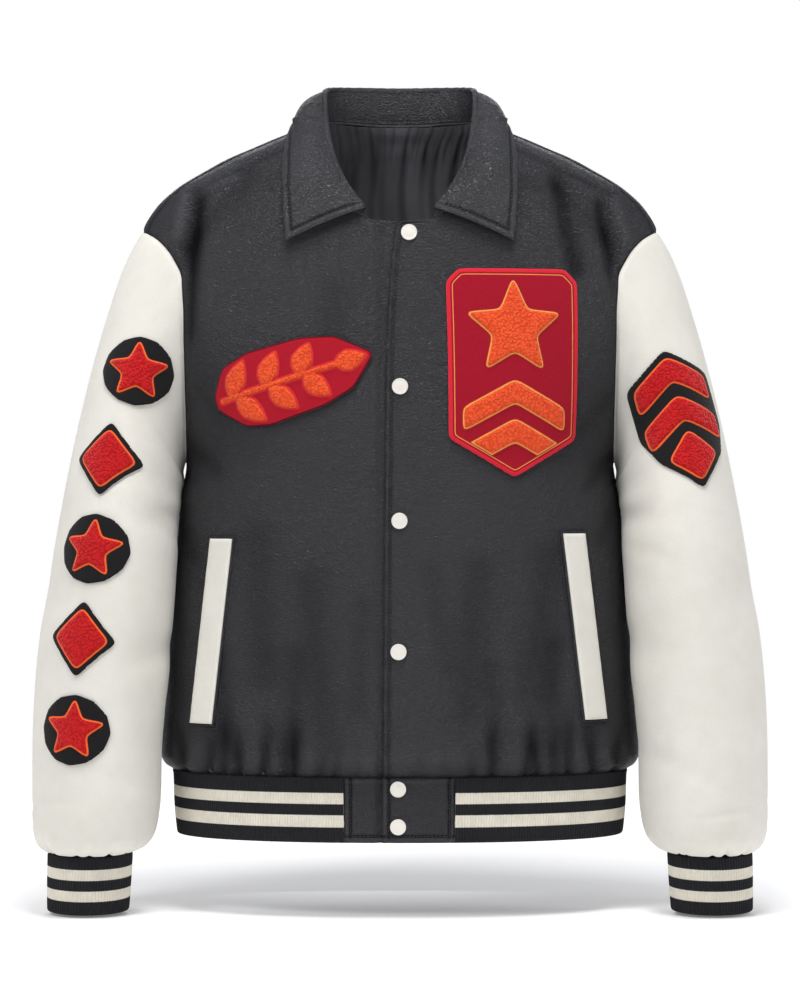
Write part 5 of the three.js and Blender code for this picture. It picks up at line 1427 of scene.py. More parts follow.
@dataclass
class FrontPanel(BodyPanel):
    """Leather front of one half, from the placket to the side seam and the armhole."""

    half: Half = Half.LEFT
    columns: int = 112
    underlap_from: float = -13.0
    underlap_depth: float = 3.0
    lap_fade: tuple[float, float] = (14.0, 25.0)
    edge_stitch: float = 5.6
    neck_from: float = 0.5
    centre_heights: tuple[float, ...] = (-330, -291, -250, -209, -170, -136, -106)

    def start_angle(self, z: Array) -> Array:
        """Return the angle of the panel's edge in front."""
        x = self.forms.body.placket(z) if self.half is Half.LEFT else np.full(np.shape(z), self.underlap_from)
        return self.forms.body.angle_at(x, z)

    def edges(self) -> tuple[Array, Array, Array]:
        """Return each row's share of the armhole, and its inner and outer ends in angle and height."""
        body = self.forms.body
        low_z = WAIST_Z + (PIT_Z - WAIST_Z) * spaced(self.low_rows, 0.25)
        w = np.linspace(0, 1, self.high_rows + 1)[1:] * 0.998
        centre = Curve(np.arange(7) / 12, self.centre_heights)
        centre_z = centre(np.minimum(w, self.neck_from))
        centre_angle = self.start_angle(centre_z)
        neck_angle, neck_z = body.neckline_at(np.clip((w - self.neck_from) * 2, 1 / 6, 1))
        share = np.clip((w - self.neck_from) * 12, 0, 1)
        inner_angle = centre_angle * (1 - share) + neck_angle * share
        inner_z = centre_z * (1 - share) + neck_z * share
        arm_angle, arm_z = body.armhole_at(180 - FRONT_ARM_TURN * w)
        inner = point(np.r_[self.start_angle(low_z), inner_angle], np.r_[low_z, inner_z], 0)[:, :2]
        outer = point(np.r_[np.full(len(low_z), 90.0), arm_angle], np.r_[low_z, arm_z], 0)[:, :2]
        arm = np.r_[np.zeros(len(low_z)), w]
        return arm, inner, outer

    def build(self) -> list[Piece]:
        """Build the front and its edge stitching."""
        body = self.forms.body
        arm, inner, outer = self.edges()
        steps = spaced(self.columns, 0.62)
        shares = []
        for start, end in zip(inner, outer):

            def row_at(share: Array, start: Array = start, end: Array = end) -> Array:
                """Return points of the row at shares of its angle and height."""
                place = start + (end - start) * share[:, None]
                return body.point(place[:, 0], place[:, 1])

            shares.append(evenly(row_at, steps))
        share = np.array(shares)
        angle = inner[:, :1] + (outer[:, :1] - inner[:, :1]) * share
        z = inner[:, 1:] + (outer[:, 1:] - inner[:, 1:]) * share
        grid = body.point(angle, z)
        inward = -body.normal(angle, z)
        on_arm = arm > 0
        turns = 180 - FRONT_ARM_TURN * arm[on_arm]
        inward[on_arm, -1] = self.forms.sleeve.armhole_inward(turns)
        inward[0, :, 2] = 0
        inward[0] = unit(inward[0])
        on_neck = arm > self.neck_from
        inward[on_neck, 0] = self.forms.collar.neck_inward(np.clip((arm[on_neck] - self.neck_from) * 2, 0, 1))
        self.pull_back(grid)
        run, rise = run_lengths(grid, 1), run_lengths(grid, 0)
        to_side = run[:, -1:] - run
        to_top = rise[-1:] - rise
        name = f"front_{self.half.word}"
        x = np.abs(grid[..., 0])
        quiet = smoothstep(to_side, 0, 14)
        creases = relief = crease_relief(name, x, grid[..., 2]) * quiet
        start = 0.7 * self.half.value
        puckers = seam_relief(to_side, rise[:, -1:], 1.1, start)
        puckers += seam_relief(rise, run, 1.3, start + 2)
        puckers += seam_relief(to_top, run, 0.8, start + 4) * smoothstep(arm[:, None], 0.9, 1)
        open_front = 1 - smoothstep(arm[:, None], self.neck_from, self.neck_from + 1 / 12)
        if self.half is Half.LEFT:
            rounding = 1.2 * bumps(run, 0, 1.3) + 1.1 * bumps(run, self.edge_stitch, 1.7)
            puckers += open_front * rounding
            puckers += open_front * 0.35 * bumps(run, 0.6 * self.edge_stitch, 4) * ripple(rise[:, :1], 26, 1)
        else:
            lapped = 1 - smoothstep(grid[..., 0], *self.lap_fade)
            relief = relief + open_front * self.underlap_depth * lapped
        path = at_distance(grid + inward * (relief + puckers)[..., None], run, self.edge_stitch)
        normal = at_distance(-inward, run, self.edge_stitch)
        sides = self.half.sides
        pieces = []
        if self.half is Half.LEFT:
            shown = arm <= self.neck_from
            lines = [(path[shown][2:-2] * sides, normal[shown][2:-2] * sides)]
            pieces.append(stitching("placket_stitching", lines, self.wardrobe))
        width = float(run[arm == 0].max())
        sheet = {
            "width_mm": width + 4, "length_mm": float(rise.max()) + 30, "held": Held.GATHERED,
            "rests_on": ["hem_rib", "collar_stand"],
        }
        front = self.wall(name, grid * sides, inward * sides, relief, puckers, sheet, creases)
        return [front] + pieces


@dataclass
class BackPanel(BodyPanel):
    """Leather back in one piece, from side seam to side seam."""

    neck_columns: int = 28
    shoulder_columns: int = 50
    neck_part: float = 5 / 12

    def top_edge(self, share: Array) -> tuple[Array, Array]:
        """Return angle and height of the top edge: along the neckline, then down the shoulder seam."""
        body = self.forms.body
        neck_angle, neck_z = body.neckline_at(2 - np.clip(share / self.neck_part, 0, 1))
        tip_angle, tip_z = body.armhole_at(180 + BACK_ARM_TURN)
        down = np.clip((share - self.neck_part) / (1 - self.neck_part), 0, 1)
        angle = SHOULDER_ANGLE + (tip_angle - SHOULDER_ANGLE) * down
        z = SHOULDER_NECK_Z + (tip_z - SHOULDER_NECK_Z) * down
        on_neck = share <= self.neck_part
        return np.where(on_neck, neck_angle, angle), np.where(on_neck, neck_z, z)

    def places(self) -> tuple[Array, Array, Array, Array]:
        """Return the half grid's angles, heights, shares across and shares of the armhole."""
        body = self.forms.body
        neck = np.linspace(0, self.neck_part, self.neck_columns + 1)
        rest = self.neck_part + (1 - self.neck_part) * spaced(self.shoulder_columns, 0.62)[1:]
        share = np.r_[neck, rest]

        def pit_row(part: Array) -> Array:
            """Return points of the row at the armpit."""
            return body.point(180 - 90 * part, PIT_Z)

        low_angle = 180 - 90 * evenly(pit_row, share)
        low_z = WAIST_Z + (PIT_Z - WAIST_Z) * spaced(self.low_rows, 0.25)
        w = np.linspace(0, 1, self.high_rows + 1)[1:, None]
        top_angle, top_z = self.top_edge(share)
        tip_angle, tip_z = body.armhole_at(180 + BACK_ARM_TURN)
        arm_angle, arm_z = body.armhole_at(180 + BACK_ARM_TURN * w)

        def blend(low: Array, top: Array, middle: Array, outer: Array, corners: Sequence[float]) -> Array:
            """Fill the patch between four edges."""
            below = (1 - share) * corners[0] + share * corners[1]
            above = (1 - share) * corners[2] + share * corners[3]
            edges = (1 - w) * low + w * top + (1 - share) * middle + share * outer
            return edges - (1 - w) * below - w * above

        angle = blend(low_angle, top_angle, 180.0, arm_angle, (180, 90, 180, float(tip_angle)))
        middle_z = PIT_Z + (NECK_BACK_Z - PIT_Z) * w
        z = blend(PIT_Z, top_z, middle_z, arm_z, (PIT_Z, PIT_Z, NECK_BACK_Z, float(tip_z)))
        angles = np.concatenate([np.broadcast_to(low_angle, (len(low_z), len(share))), angle])
        heights = np.concatenate([np.broadcast_to(low_z[:, None], (len(low_z), len(share))), z])
        return angles, heights, share, np.r_[np.zeros(len(low_z)), w[:, 0]]

    def build(self) -> list[Piece]:
        """Build the back."""
        body = self.forms.body
        angle, z, share, arm = self.places()
        grid = body.point(angle, z)
        inward = -body.normal(angle, z)
        on_arm = arm > 0
        inward[on_arm, -1] = self.forms.sleeve.armhole_inward(180 + BACK_ARM_TURN * arm[on_arm])
        inward[0, :, 2] = 0
        inward[0] = unit(inward[0])
        on_neck = share <= self.neck_part
        inward[-1, on_neck] = self.forms.collar.neck_inward(2 - share[on_neck] / self.neck_part)
        self.pull_back(grid)
        run, rise = run_lengths(grid, 1), run_lengths(grid, 0)
        to_side = run[:, -1:] - run
        to_top = rise[-1:] - rise
        relief = crease_relief("back", np.abs(grid[..., 0]), grid[..., 2]) * smoothstep(to_side, 0, 14)
        relief *= smoothstep(to_top, 0, 20)
        puckers = seam_relief(to_side, rise[:, -1:], 1.1, 0.3)
        puckers += seam_relief(rise, run, 1.3, 2.1)
        puckers += seam_relief(to_top, run, 0.8, 1.2)

        def whole(half: Array, flip: bool = True) -> Array:
            """Return a half grid with its mirror image before it."""
            other = half[:, :0:-1]
            return np.concatenate([other * np.array([-1, 1, 1]) if flip else other, half], axis=1)

        lean = np.sin(whole(run, False) / 60) * 0.15 + 1
        sheet = {
            "width_mm": 2 * float(run.max()) + 8, "length_mm": float(rise.max()) + 6,
            "held": Held.GATHERED, "rests_on": ["hem_rib", "collar_stand"],
        }
        relief, puckers = whole(relief, False) * lean, whole(puckers, False)
        return [self.wall("back", whole(grid), whole(inward), relief, puckers, sheet)]


@dataclass
class BackLining:
    """Satin lining of the upper back, which hangs in soft upright folds."""

    forms: Forms
    wardrobe: Wardrobe
    half_width: float = 76.0
    low_z: float = -190.0
    clearance: float = LEATHER + 2.5
    fold: float = 4.6
    columns: int = 130
    rows: int = 56

    def build(self) -> list[Piece]:
        """Build the lining."""
        body = self.forms.body
        z = np.linspace(self.low_z, 1.4, self.rows + 1)[:, None]
        edge = 180 - body.angle_at(self.half_width, z)
        share = np.linspace(0, 1, self.columns + 1)
        angle = edge + (360 - 2 * edge) * share
        normal = body.normal(angle, z)
        surface = body.point(angle, z)
        across = (share - 0.5) * 2 * self.half_width
        gathered = smoothstep(z, -42, -2)
        fold = 0.5 + 0.34 * ripple(across + 9 * np.sin(z / 47), 27, 0.8) * (1 - 0.6 * gathered)
        fold = fold + 0.36 * gathered * ripple(across + 0.1 * z, 10.5, 2.2)
        fold = fold + 0.12 * ripple(across - 0.2 * z, 44, 1.0)
        depth = self.fold * np.clip(fold, 0, 1) * np.minimum(1, (4 - z) / 26)
        shown = surface - normal * (self.clearance + LINING_WALL + depth)[..., None]
        behind = surface - normal * (self.clearance + depth * 0.98)[..., None]
        # Painted shade in the lining's deep folds and painted highlight on its ridges
        hollow = np.clip(1.1 - 2.0 * fold, -1, 1) * 0.6
        behind = resampled(behind, self.rows // 2, self.columns)
        parts = cloth_wall("back_lining_satin", shown, behind, False, fold=hollow)
        satin = self.wardrobe["satin"]
        piece = parts.replace("back_lining", [satin, satin], "satin")
        width, length = longest(shown, 1) + 2, longest(shown, 0) + 2
        declare_sheet(piece, width, length, grid_area(shown), Held.HUNG, ["collar_stand"])
        return [piece]


@dataclass
class SleeveShell:
    """Felt sleeve of one half, gathered into its cuff."""

    forms: Forms
    wardrobe: Wardrobe
    half: Half
    around: int = 168
    pleats: int = 15
    pleat_depth: float = 2.4

    def extra_depth(self, turn: Array, at: Array) -> Array:
        """Return the depth of the cuff's pleats and of small creases."""
        sign = self.half.value
        depth = np.zeros(np.broadcast(turn, at).shape)
        for number in range(self.pleats):
            place = 360 * number / self.pleats + 7 * math.sin(2.7 * number + sign)
            size = 0.72 + 0.28 * math.sin(1.9 * number + 2 * sign)
            start = 14.2 + 0.7 * math.sin(3.1 * number + sign)
            away = np.abs((turn - place + 180) % 360 - 180)
            width = 3.6 + 2.6 * smoothstep(17 - at, 0, 2.5)
            depth += self.pleat_depth * size * bumps(away, 0, width) * smoothstep(at, start, 16.3)
        for fold_at, fold_turn, along, lean, deep in self.creases():
            away = (turn - fold_turn + 180) % 360 - 180
            centre = fold_at + lean * away / 60
            depth += deep * np.exp(-(((at - centre) / along) ** 2) - (away / 48) ** 2)
        return depth

    def creases(self) -> tuple[tuple[float, float, float, float, float], ...]:
        """Return small creases: section, angle round, half length, lean and depth."""
        if self.half is Half.LEFT:
            own = (
                (3.1, 150, 0.22, 0.5, 1.1), (7.4, 120, 0.24, -0.5, 1.0), (9.2, 165, 0.26, 0.4, 1.4),
                (12.2, 135, 0.22, -0.4, 1.2), (13.6, 60, 0.2, 0.3, 0.8), (6.1, 215, 0.25, 0.4, 1.2),
                (10.4, 240, 0.25, -0.5, 1.3),
            )
        else:
            own = (
                (2.7, 155, 0.22, -0.5, 1.1), (6.6, 140, 0.24, 0.5, 1.2), (9.8, 150, 0.24, -0.4, 1.2),
                (12.6, 120, 0.22, 0.5, 1.3), (13.4, 30, 0.2, -0.3, 0.8), (7.2, 220, 0.25, 0.5, 1.2),
                (11.3, 235, 0.25, 0.4, 1.3),
            )
        return own + ((3.4, 178, 0.9, 0.0, -3.6), (5.0, 178, 1.3, 0.0, -2.6), (9.6, 178, 1.3, 0.0, -2.0))

    def build(self) -> list[Piece]:
        """Build the sleeve."""
        form = self.forms.sleeve
        top, rest = np.linspace(0, 0.3, 6), np.linspace(0.36, SLEEVE_GATHER_FROM, 108)
        at = np.r_[top, rest, np.linspace(SLEEVE_GATHER_FROM + 0.06, LAST_SECTION, 62)][:, None]
        turn = np.arange(self.around)[None] * 360 / self.around
        grid = form.point(turn, at)
        inward = -form.normal(turn, at)
        inward[0] = form.armhole_inward(turn[0])
        grid[0] += unit(form.point(turn[0], 0.5) - grid[0]) * SEAM_GAP
        run = run_lengths(np.concatenate([grid, grid[:, :1]], axis=1), 1)[:, :-1]
        rise = run_lengths(grid, 0)
        to_cuff = rise[-1:] - rise
        relief = self.extra_depth(turn, at) * smoothstep(at, 0.4, 1.6)
        puckers = seam_relief(rise, run[:1], 1.2, 1.1 * self.half.value)
        puckers += 0.5 * bumps(to_cuff, 0, 2.0)
        puckers = np.minimum(puckers, FELT - LEAST_WALL)
        sides = self.half.sides
        base = (grid + inward * relief[..., None]) * sides
        outer = base + inward * sides * puckers[..., None]
        inside = base + inward * sides * FELT
        rows = np.unique(np.linspace(0, len(at) - 1, len(at) // 2).round().astype(int))
        name = f"sleeve_{self.half.word}"
        parts = cloth_wall(name + "_felt", outer, inside[rows][:, ::2], True)
        piece = parts.replace(name, [self.wardrobe["felt"], self.wardrobe["satin"]], "felt")
        strip = grid_area(grid[6:8], True) / MM / MM
        width = float(strip / np.linalg.norm(grid[7] - grid[6], axis=-1).mean()) + 60
        cuff = f"cuff_{self.half.word}"
        declare_sheet(piece, width, float(rise.max()) + 8, grid_area(base, True), Held.GATHERED, [cuff])
        return [piece]


BAND_SHARES = np.array([0, 0.012, 0.035, 0.07, 0.2, 0.35, 0.5, 0.65, 0.8, 0.93, 0.965, 0.988, 1])
BAND_TURN_IN = np.array([0.9, 0.35, 0.08, 0, -0.1, -0.15, -0.18, -0.15, -0.1, 0, 0.08, 0.35, 0.9])


RIB_HEIGHT = 0.85


def rib_height(share: Array, ribs: int) -> Array:
    """Return the height of round ribs at shares of a band's length."""
    return RIB_HEIGHT * (0.5 + 0.5 * np.cos(2 * np.pi * ribs * share)) ** 0.7 - 0.15


@dataclass
class CuffBand:
    """Rib-knit cuff of one half: an oval tube whose front hangs a little lower."""

    wardrobe: Wardrobe
    half: Half
    ribs: int = 84
    samples: int = 6
    top_x: float = 292.0
    low_x: float = 294.0
    width: float = 39.5
    low_width: float = 38.0
    depth: float = 36.6
    middle_y: float = -54.0
    top: float = -695.7
    bottom: float = -750.0

    def surface(self, share: Array, height: Array) -> Array:
        """Return points at shares round the band and down it."""
        turn = share * 2 * np.pi
        width = self.width + (self.low_width - self.width) * height
        x = self.top_x + (self.low_x - self.top_x) * height + width * np.cos(turn)
        y = self.middle_y - self.depth * (width / self.width) * np.sin(turn)
        z = self.top + (self.bottom - self.top) * height + CUFF_TILT * (y - self.middle_y) - SEAM_GAP
        return point(x, y, z)

    def build(self) -> list[Piece]:
        """Build the cuff."""
        count = self.ribs * self.samples
        share = (np.arange(count) / count)[None]
        height = BAND_SHARES[:, None]
        outward = point(np.cos(2 * np.pi * share), -np.sin(2 * np.pi * share), 0)
        rise = rib_height(share, self.ribs) - BAND_TURN_IN[:, None]
        base = self.surface(share, height)
        sides = self.half.sides
        outer = (base + outward * rise[..., None]) * sides
        inner = (base - outward * RIB_WALL)[:, ::3] * sides
        uv = point(np.broadcast_to(share, base.shape[:2]), height, 0)[..., :2]
        name = f"cuff_{self.half.word}"
        knit = self.wardrobe["cuff_rib"]
        piece = cloth_wall(name + "_knit", outer, inner, True, uv).replace(name, [knit, knit], "rib", 60)
        around = longest(np.concatenate([base, base[:, :1]], axis=1), 1)
        declare_sheet(
            piece, around * 1.02 + 12, self.top - self.bottom + 2, grid_area(base, True) * 1.02,
            Held.STRETCHED, [f"sleeve_{self.half.word}"],
        )
        return [piece]


@dataclass
class HemBand:
    """Rib-knit hem band, open in front where the tabs close it."""

    forms: Forms
    wardrobe: Wardrobe
    ribs: int = 366
    samples: int = 6
    left_end: float = 51.4
    right_end: float = 52.4

    def build(self) -> list[Piece]:
        """Build the band."""
        body = self.forms.body
        top = WAIST_Z - SEAM_GAP
        middle = (top + HEM_Z) / 2
        start = float(body.angle_at(self.left_end, middle))
        end = 360 - float(body.angle_at(self.right_end, middle))

        def row_at(share: Array) -> Array:
            """Return points of the band's middle line."""
            return body.plain(start + (end - start) * share, middle)

        count = self.ribs * self.samples
        share = np.linspace(0, 1, count + 1)
        angle = (start + (end - start) * evenly(row_at, share, 400))[None]
        z = (top + (HEM_Z - top) * BAND_SHARES)[:, None]
        base = body.plain(angle, z)
        outward = body.level_normal(angle, middle)
        run = run_lengths(base, 1)
        ends = np.minimum(run, run[:, -1:] - run)
        rise = rib_height(share[None], self.ribs) - BAND_TURN_IN[:, None] - 0.6 * bumps(ends, 0, 1.2)
        outer = base + outward * rise[..., None]
        inner = (base - outward * RIB_WALL)[:, ::6]
        uv = point(np.broadcast_to(share[None], base.shape[:2]), BAND_SHARES[:, None], 0)[..., :2]
        knit = self.wardrobe["hem_rib"]
        parts = cloth_wall("hem_rib_knit", outer, inner, False, uv)
        piece = parts.replace("hem_rib", [knit, knit], "rib", 60)
        area = grid_area(base) * 1.02
        declare_sheet(piece, float(run.max()) * 1.03, top - HEM_Z + 2, area, Held.STRETCHED, ["back"])
        return [piece]


@dataclass
class HemTab:
    """Leather tab at the front end of the hem, with its edge stitching."""

    forms: Forms
    wardrobe: Wardrobe
    half: Half
    from_x: float
    to_x: float
    stitch_sides: tuple[float, ...]
    lap_fade: tuple[float, float] = (-24.0, -18.6)
    lap_depth: float = 3.0
    stitch_in: float = 6.2
    columns: int = 48
    rows: int = 44

    def surface(self, x: Array, z: Array) -> tuple[Array, Array]:
        """Return points of the tab's outside and the direction out of it."""
        body = self.forms.body
        angle = body.angle_at(x, z)
        outward = body.level_normal(angle, z)
        lap_depth = self.lap_depth if self.half is Half.RIGHT else 0.0
        under = smoothstep(x, *self.lap_fade) * lap_depth
        return body.plain(angle, z) - outward * under[..., None], outward

    def build(self) -> list[Piece]:
        """Build the tab and its stitching."""
        top = WAIST_Z - SEAM_GAP
        x = (self.from_x + (self.to_x - self.from_x) * spaced(self.columns, 0.6))[None]
        z = (top + (HEM_Z - top) * spaced(self.rows, 0.6))[:, None]
        x, z = np.broadcast_arrays(x, z)
        base, outward = self.surface(x, z)
        to_edge = np.minimum(np.minimum(x - self.from_x, self.to_x - x), np.minimum(top - z, z - HEM_Z))
        dip = 1.0 * bumps(to_edge, 0, 1.3) + 0.1 * ripple(x, 15, 1) * ripple(z, 19, 2)
        for side in self.stitch_sides:
            dip = dip + 0.8 * bumps(x, side, 1.6)
        groove = sum(bumps(x, side, 1.6) for side in self.stitch_sides)
        groove = np.maximum(groove, bumps(z, HEM_Z + self.stitch_in, 1.6)) * (z > HEM_Z + self.stitch_in - 2)
        outer = base - outward * dip[..., None]
        inner = resampled(base - outward * LEATHER, self.rows // 3, self.columns // 3)
        name = f"hem_tab_{self.half.word}"
        # Painted shade in the stitch grooves and at the rounded edge, painted highlight on the border inside
        # it
        fold = np.clip(0.9 * groove + 0.6 * bumps(to_edge, 0, 1.0) - 0.25 * (to_edge < 5), -1, 1)
        leather = self.wardrobe["leather"]
        parts = cloth_wall(name + "_leather", outer, inner, False, fold=fold)
        piece = parts.replace(name, [leather, leather], "leather")
        paths = []
        low = HEM_Z + self.stitch_in
        for side in self.stitch_sides:
            line = np.linspace(top - 3, low, 60)
            points, normal = self.surface(np.full(60, side), line)
            paths.append((points - normal * 0.35, normal))
        line = np.linspace(min(self.stitch_sides), max(self.stitch_sides), 60)
        if len(self.stitch_sides) == 1:
            line = np.linspace(self.from_x + 6, -18, 60)
        points, normal = self.surface(line, np.full(60, low))
        paths.append((points - normal * 0.1, normal))
        thread = stitching(name + "_stitching", paths, self.wardrobe)
        declare_sheet(piece, longest(base, 1) + 2, top - HEM_Z + 2, grid_area(base), Held.LAID, ["hem_rib"])
        return [piece, thread]


@dataclass
class Collar:
    """Leather collar: the stand round the neck and the leaf that folds over it."""

    forms: Forms
    wardrobe: Wardrobe
    steps: int = 130
    fall_steps: int = 46
    roll_steps: int = 12
    edge_stitch: float = 6.6
    seam_stitch: float = 4.5
    roll_end: float = 9.0
    band_rise: float = 0.4
    piping: float = 1.6

    def stations(self) -> Array:
        """Return the half collar's stations, crowded towards the front end."""
        share = np.linspace(0, 1, self.steps + 1)
        return 10 * (0.72 * share + 0.28 * share * share)

    @staticmethod
    def both(half: Array) -> Array:
        """Return rows of the half collar followed by their mirror image."""
        return np.concatenate([half, half[-2::-1] * np.array([-1, 1, 1])])

    def leaf_rows(self, station: Array) -> Array:
        """Return the shown side of the leaf, from the stand over the roll to the edge."""
        form = self.forms.collar
        along, up, out = (side[:, None, :] for side in form.frame(station))
        fold = form.line("fold", station)[:, None, :]
        start = fold - out * ROLL_RADIUS - up * (STAND_BELOW_FOLD - SEAM_GAP)
        turn = np.linspace(np.pi, 0, self.roll_steps + 1)[None, :, None]
        rolled = fold - up * ROLL_DROP + out * ROLL_RADIUS * np.cos(turn) + up * ROLL_DROP * np.sin(turn)
        turned = rolled[:, -1:]
        edge = form.line("edge", station)[:, None, :]
        bowed = unit(np.cross(along, edge - turned))
        side = np.where((bowed * out).sum(-1, keepdims=True) > 0, 1.0, -1.0)
        bow = form.rows["bow"](station)[:, None, None]
        middle = turned + (edge - turned) * 0.42 + bowed * side * bow
        t = spaced(self.fall_steps, 0.55)[None, 1:, None]
        fall = (
            turned * (t - 0.42) * (t - 1) / 0.42
            + middle * t * (t - 1) / (0.42 * (0.42 - 1))
            + edge * t * (t - 0.42) / (1 - 0.42)
        )
        cleared = clear_of_body(self.forms.body, fall, COLLAR_WALL + LEAF_LIFT)
        share = smoothstep(t, 0, 0.2)
        return np.concatenate([start, rolled, fall + (cleared - fall) * share], axis=1)

    def build_leaf(self) -> list[Piece]:
        """Build the leaf and its topstitching."""
        station = self.stations()
        _, _, out = self.forms.collar.frame(station)
        half = self.leaf_rows(station)
        shown = self.both(half)
        normal = grid_normals(shown)
        if (normal[self.steps // 2, -self.fall_steps // 2] * out[self.steps // 2]).sum() < 0:
            normal = -normal
        across, along = run_lengths(shown, 1), run_lengths(shown, 0)
        to_edge = across[:, -1:] - across
        to_end = np.minimum(along, along[-1:] - along)
        near = np.minimum(to_edge, to_end)
        on_fall = smoothstep(across, 10, 16)
        dip = 1.0 * bumps(near, 0, 1.3) * np.where(across > 6, 1, 0.3)
        dip -= self.band_rise * (1 - smoothstep(near, 4.2, self.edge_stitch)) * on_fall
        groove = bumps(near, self.edge_stitch, 1.6) * on_fall
        dip += 0.8 * groove
        wrinkle = ripple(along + 0.5 * across, 13, 0.4) * ripple(across + 0.3 * along, 24, 1.7)
        dip += 0.28 * wrinkle * on_fall * smoothstep(near, 6, 12)
        dip += 0.35 * ripple(along, 11, 2.0) * bumps(across, 9, 9)
        dip = np.minimum(dip, COLLAR_WALL - 0.5)
        outer = shown - normal * dip[..., None]
        under = shown - normal * COLLAR_WALL
        under = resampled(under, under.shape[0] // 2, under.shape[1] // 2)
        # Painted shade in the stitch groove, painted highlight on the raised edge band, painted shade and
        # highlight over the wrinkles
        fold = 0.9 * groove - 0.2 * on_fall * (near < self.edge_stitch - 1) + 0.8 * wrinkle * 0.28
        leather = self.wardrobe["collar_leather"]
        parts = cloth_wall("collar_leaf_leather", outer, under, False, fold=np.clip(fold, -1, 1))
        piece = parts.replace("collar_leaf", [leather, leather], "leather", 60)
        place = np.concatenate([outer, normal], axis=-1)
        edge_line = at_distance(place[:, ::-1], to_edge[:, ::-1], self.edge_stitch)
        keep = to_end[:, -1] > self.edge_stitch
        paths = [(edge_line[keep][:, :3], edge_line[keep][:, 3:])]
        for flip in (False, True):
            columns = place.transpose(1, 0, 2)
            runs = along.T
            if flip:
                columns, runs = columns[:, ::-1], (along[-1:] - along).T[:, ::-1]
            end_line = at_distance(columns, runs, self.edge_stitch)
            level = at_distance(to_edge.T[:, :: -1 if flip else 1, None], runs, self.edge_stitch)[:, 0]
            over = at_distance(across.T[:, :: -1 if flip else 1, None], runs, self.edge_stitch)[:, 0]
            kept = (level > self.edge_stitch) & (over > self.roll_end)
            paths.append((end_line[kept][:, :3], end_line[kept][:, 3:]))
        thread = stitching("collar_leaf_stitching", paths, self.wardrobe, COLLAR_THREAD)
        width = float(along[:, self.roll_steps :].max()) + 4
        declare_sheet(piece, width, float(across.max()) + 4, grid_area(shown), Held.FOLDED, ["collar_stand"])
        return [piece, thread]

    def build_stand(self) -> list[Piece]:
        """Build the stand, its topstitching and the piping along the neck seam."""
        form, body = self.forms.collar, self.forms.body
        station = self.stations()
        share = form.neck_share(station)
        _, _, out = form.frame(station)
        seam = body.point(*body.neckline_at(share))
        inward = form.neck_inward(share)
        rise = np.linspace(0, 1, 17)[None, :, None]
        sides = []
        for low, top in (
            (seam, form.stand_top(station) + out * COLLAR_WALL),
            (seam + inward * LEATHER, form.stand_top(station)),
        ):
            low = low + unit(top - low) * SEAM_GAP * 1.6
            sides.append(self.both(low[:, None] + (top - low)[:, None] * rise))
        outside, inside = sides
        normal = unit(inside - outside)
        run = run_lengths(inside, 1)
        along = run_lengths(inside, 0)
        arch = np.sin(np.pi * run / run[:, -1:])
        bulge = 0.5 * arch + 0.2 * ripple(along, 17, 0.6) * arch
        bulge -= 0.4 * bumps(run, self.seam_stitch, 1.1)
        inside = inside + normal * bulge[..., None]
        leather = self.wardrobe["collar_leather"]
        parts = cloth_wall("collar_stand_leather", outside, inside, False)
        piece = parts.replace("collar_stand", [leather, leather], "leather", 60)
        line = at_distance(np.concatenate([inside, normal], axis=-1), run, self.seam_stitch)
        last = len(station) * 2 - 2
        middle = slice(int(last * 0.24), int(last * 0.76))
        lines = [(line[middle][:, :3], line[middle][:, 3:])]
        thread = stitching("collar_stand_stitching", lines, self.wardrobe, COLLAR_THREAD)
        width, length = float(along.max()) + 6, float(run.max()) + 4
        rests_on = ["back", "front_left", "front_right"]
        declare_sheet(piece, width, length, grid_area(inside), Held.FOLDED, rests_on)
        seam_line = inside[middle, 0] + normal[middle, 0] * self.piping
        down = unit(inside[middle, 0] - inside[middle, 1])
        seam_line = seam_line + down * 2.6
        tube = MeshParts("neck_piping")
        add_tube(tube, seam_line, self.piping, 10)
        return [piece, thread, tube.build([leather], "leather")]

    def build(self) -> list[Piece]:
        """Build the leaf and the stand."""
        return self.build_leaf() + self.build_stand()


def add_tube(parts: MeshParts, path: Array, radius: float, sides: int, closed: bool = False) -> None:
    """Add a round tube along a path.

    Args:
        parts: Mesh that gets the tube.
        path: Points of its middle line.
        radius: Its radius.
        sides: Number of its sides.
        closed: Whether the path comes back to its start.
    """
    if closed:
        ahead = unit(np.roll(path, -1, axis=0) - np.roll(path, 1, axis=0))
    else:
        ahead = unit(np.gradient(path, axis=0))
    side = unit(np.cross(ahead, np.array([0.0, -1.0, 0.3])))
    up = np.cross(side, ahead)
    turn = np.arange(sides) * 2 * np.pi / sides
    ring = np.cos(turn)[None, :, None] * side[:, None] + np.sin(turn)[None, :, None] * up[:, None]
    numbers = parts.add_points(path[:, None] + ring * radius)
    parts.add_faces(grid_faces(numbers, True))
    if closed:
        parts.add_faces(grid_faces(numbers[[-1, 0]], True))
    else:
        parts.add_faces([tuple(numbers[0][::-1]), tuple(numbers[-1])])


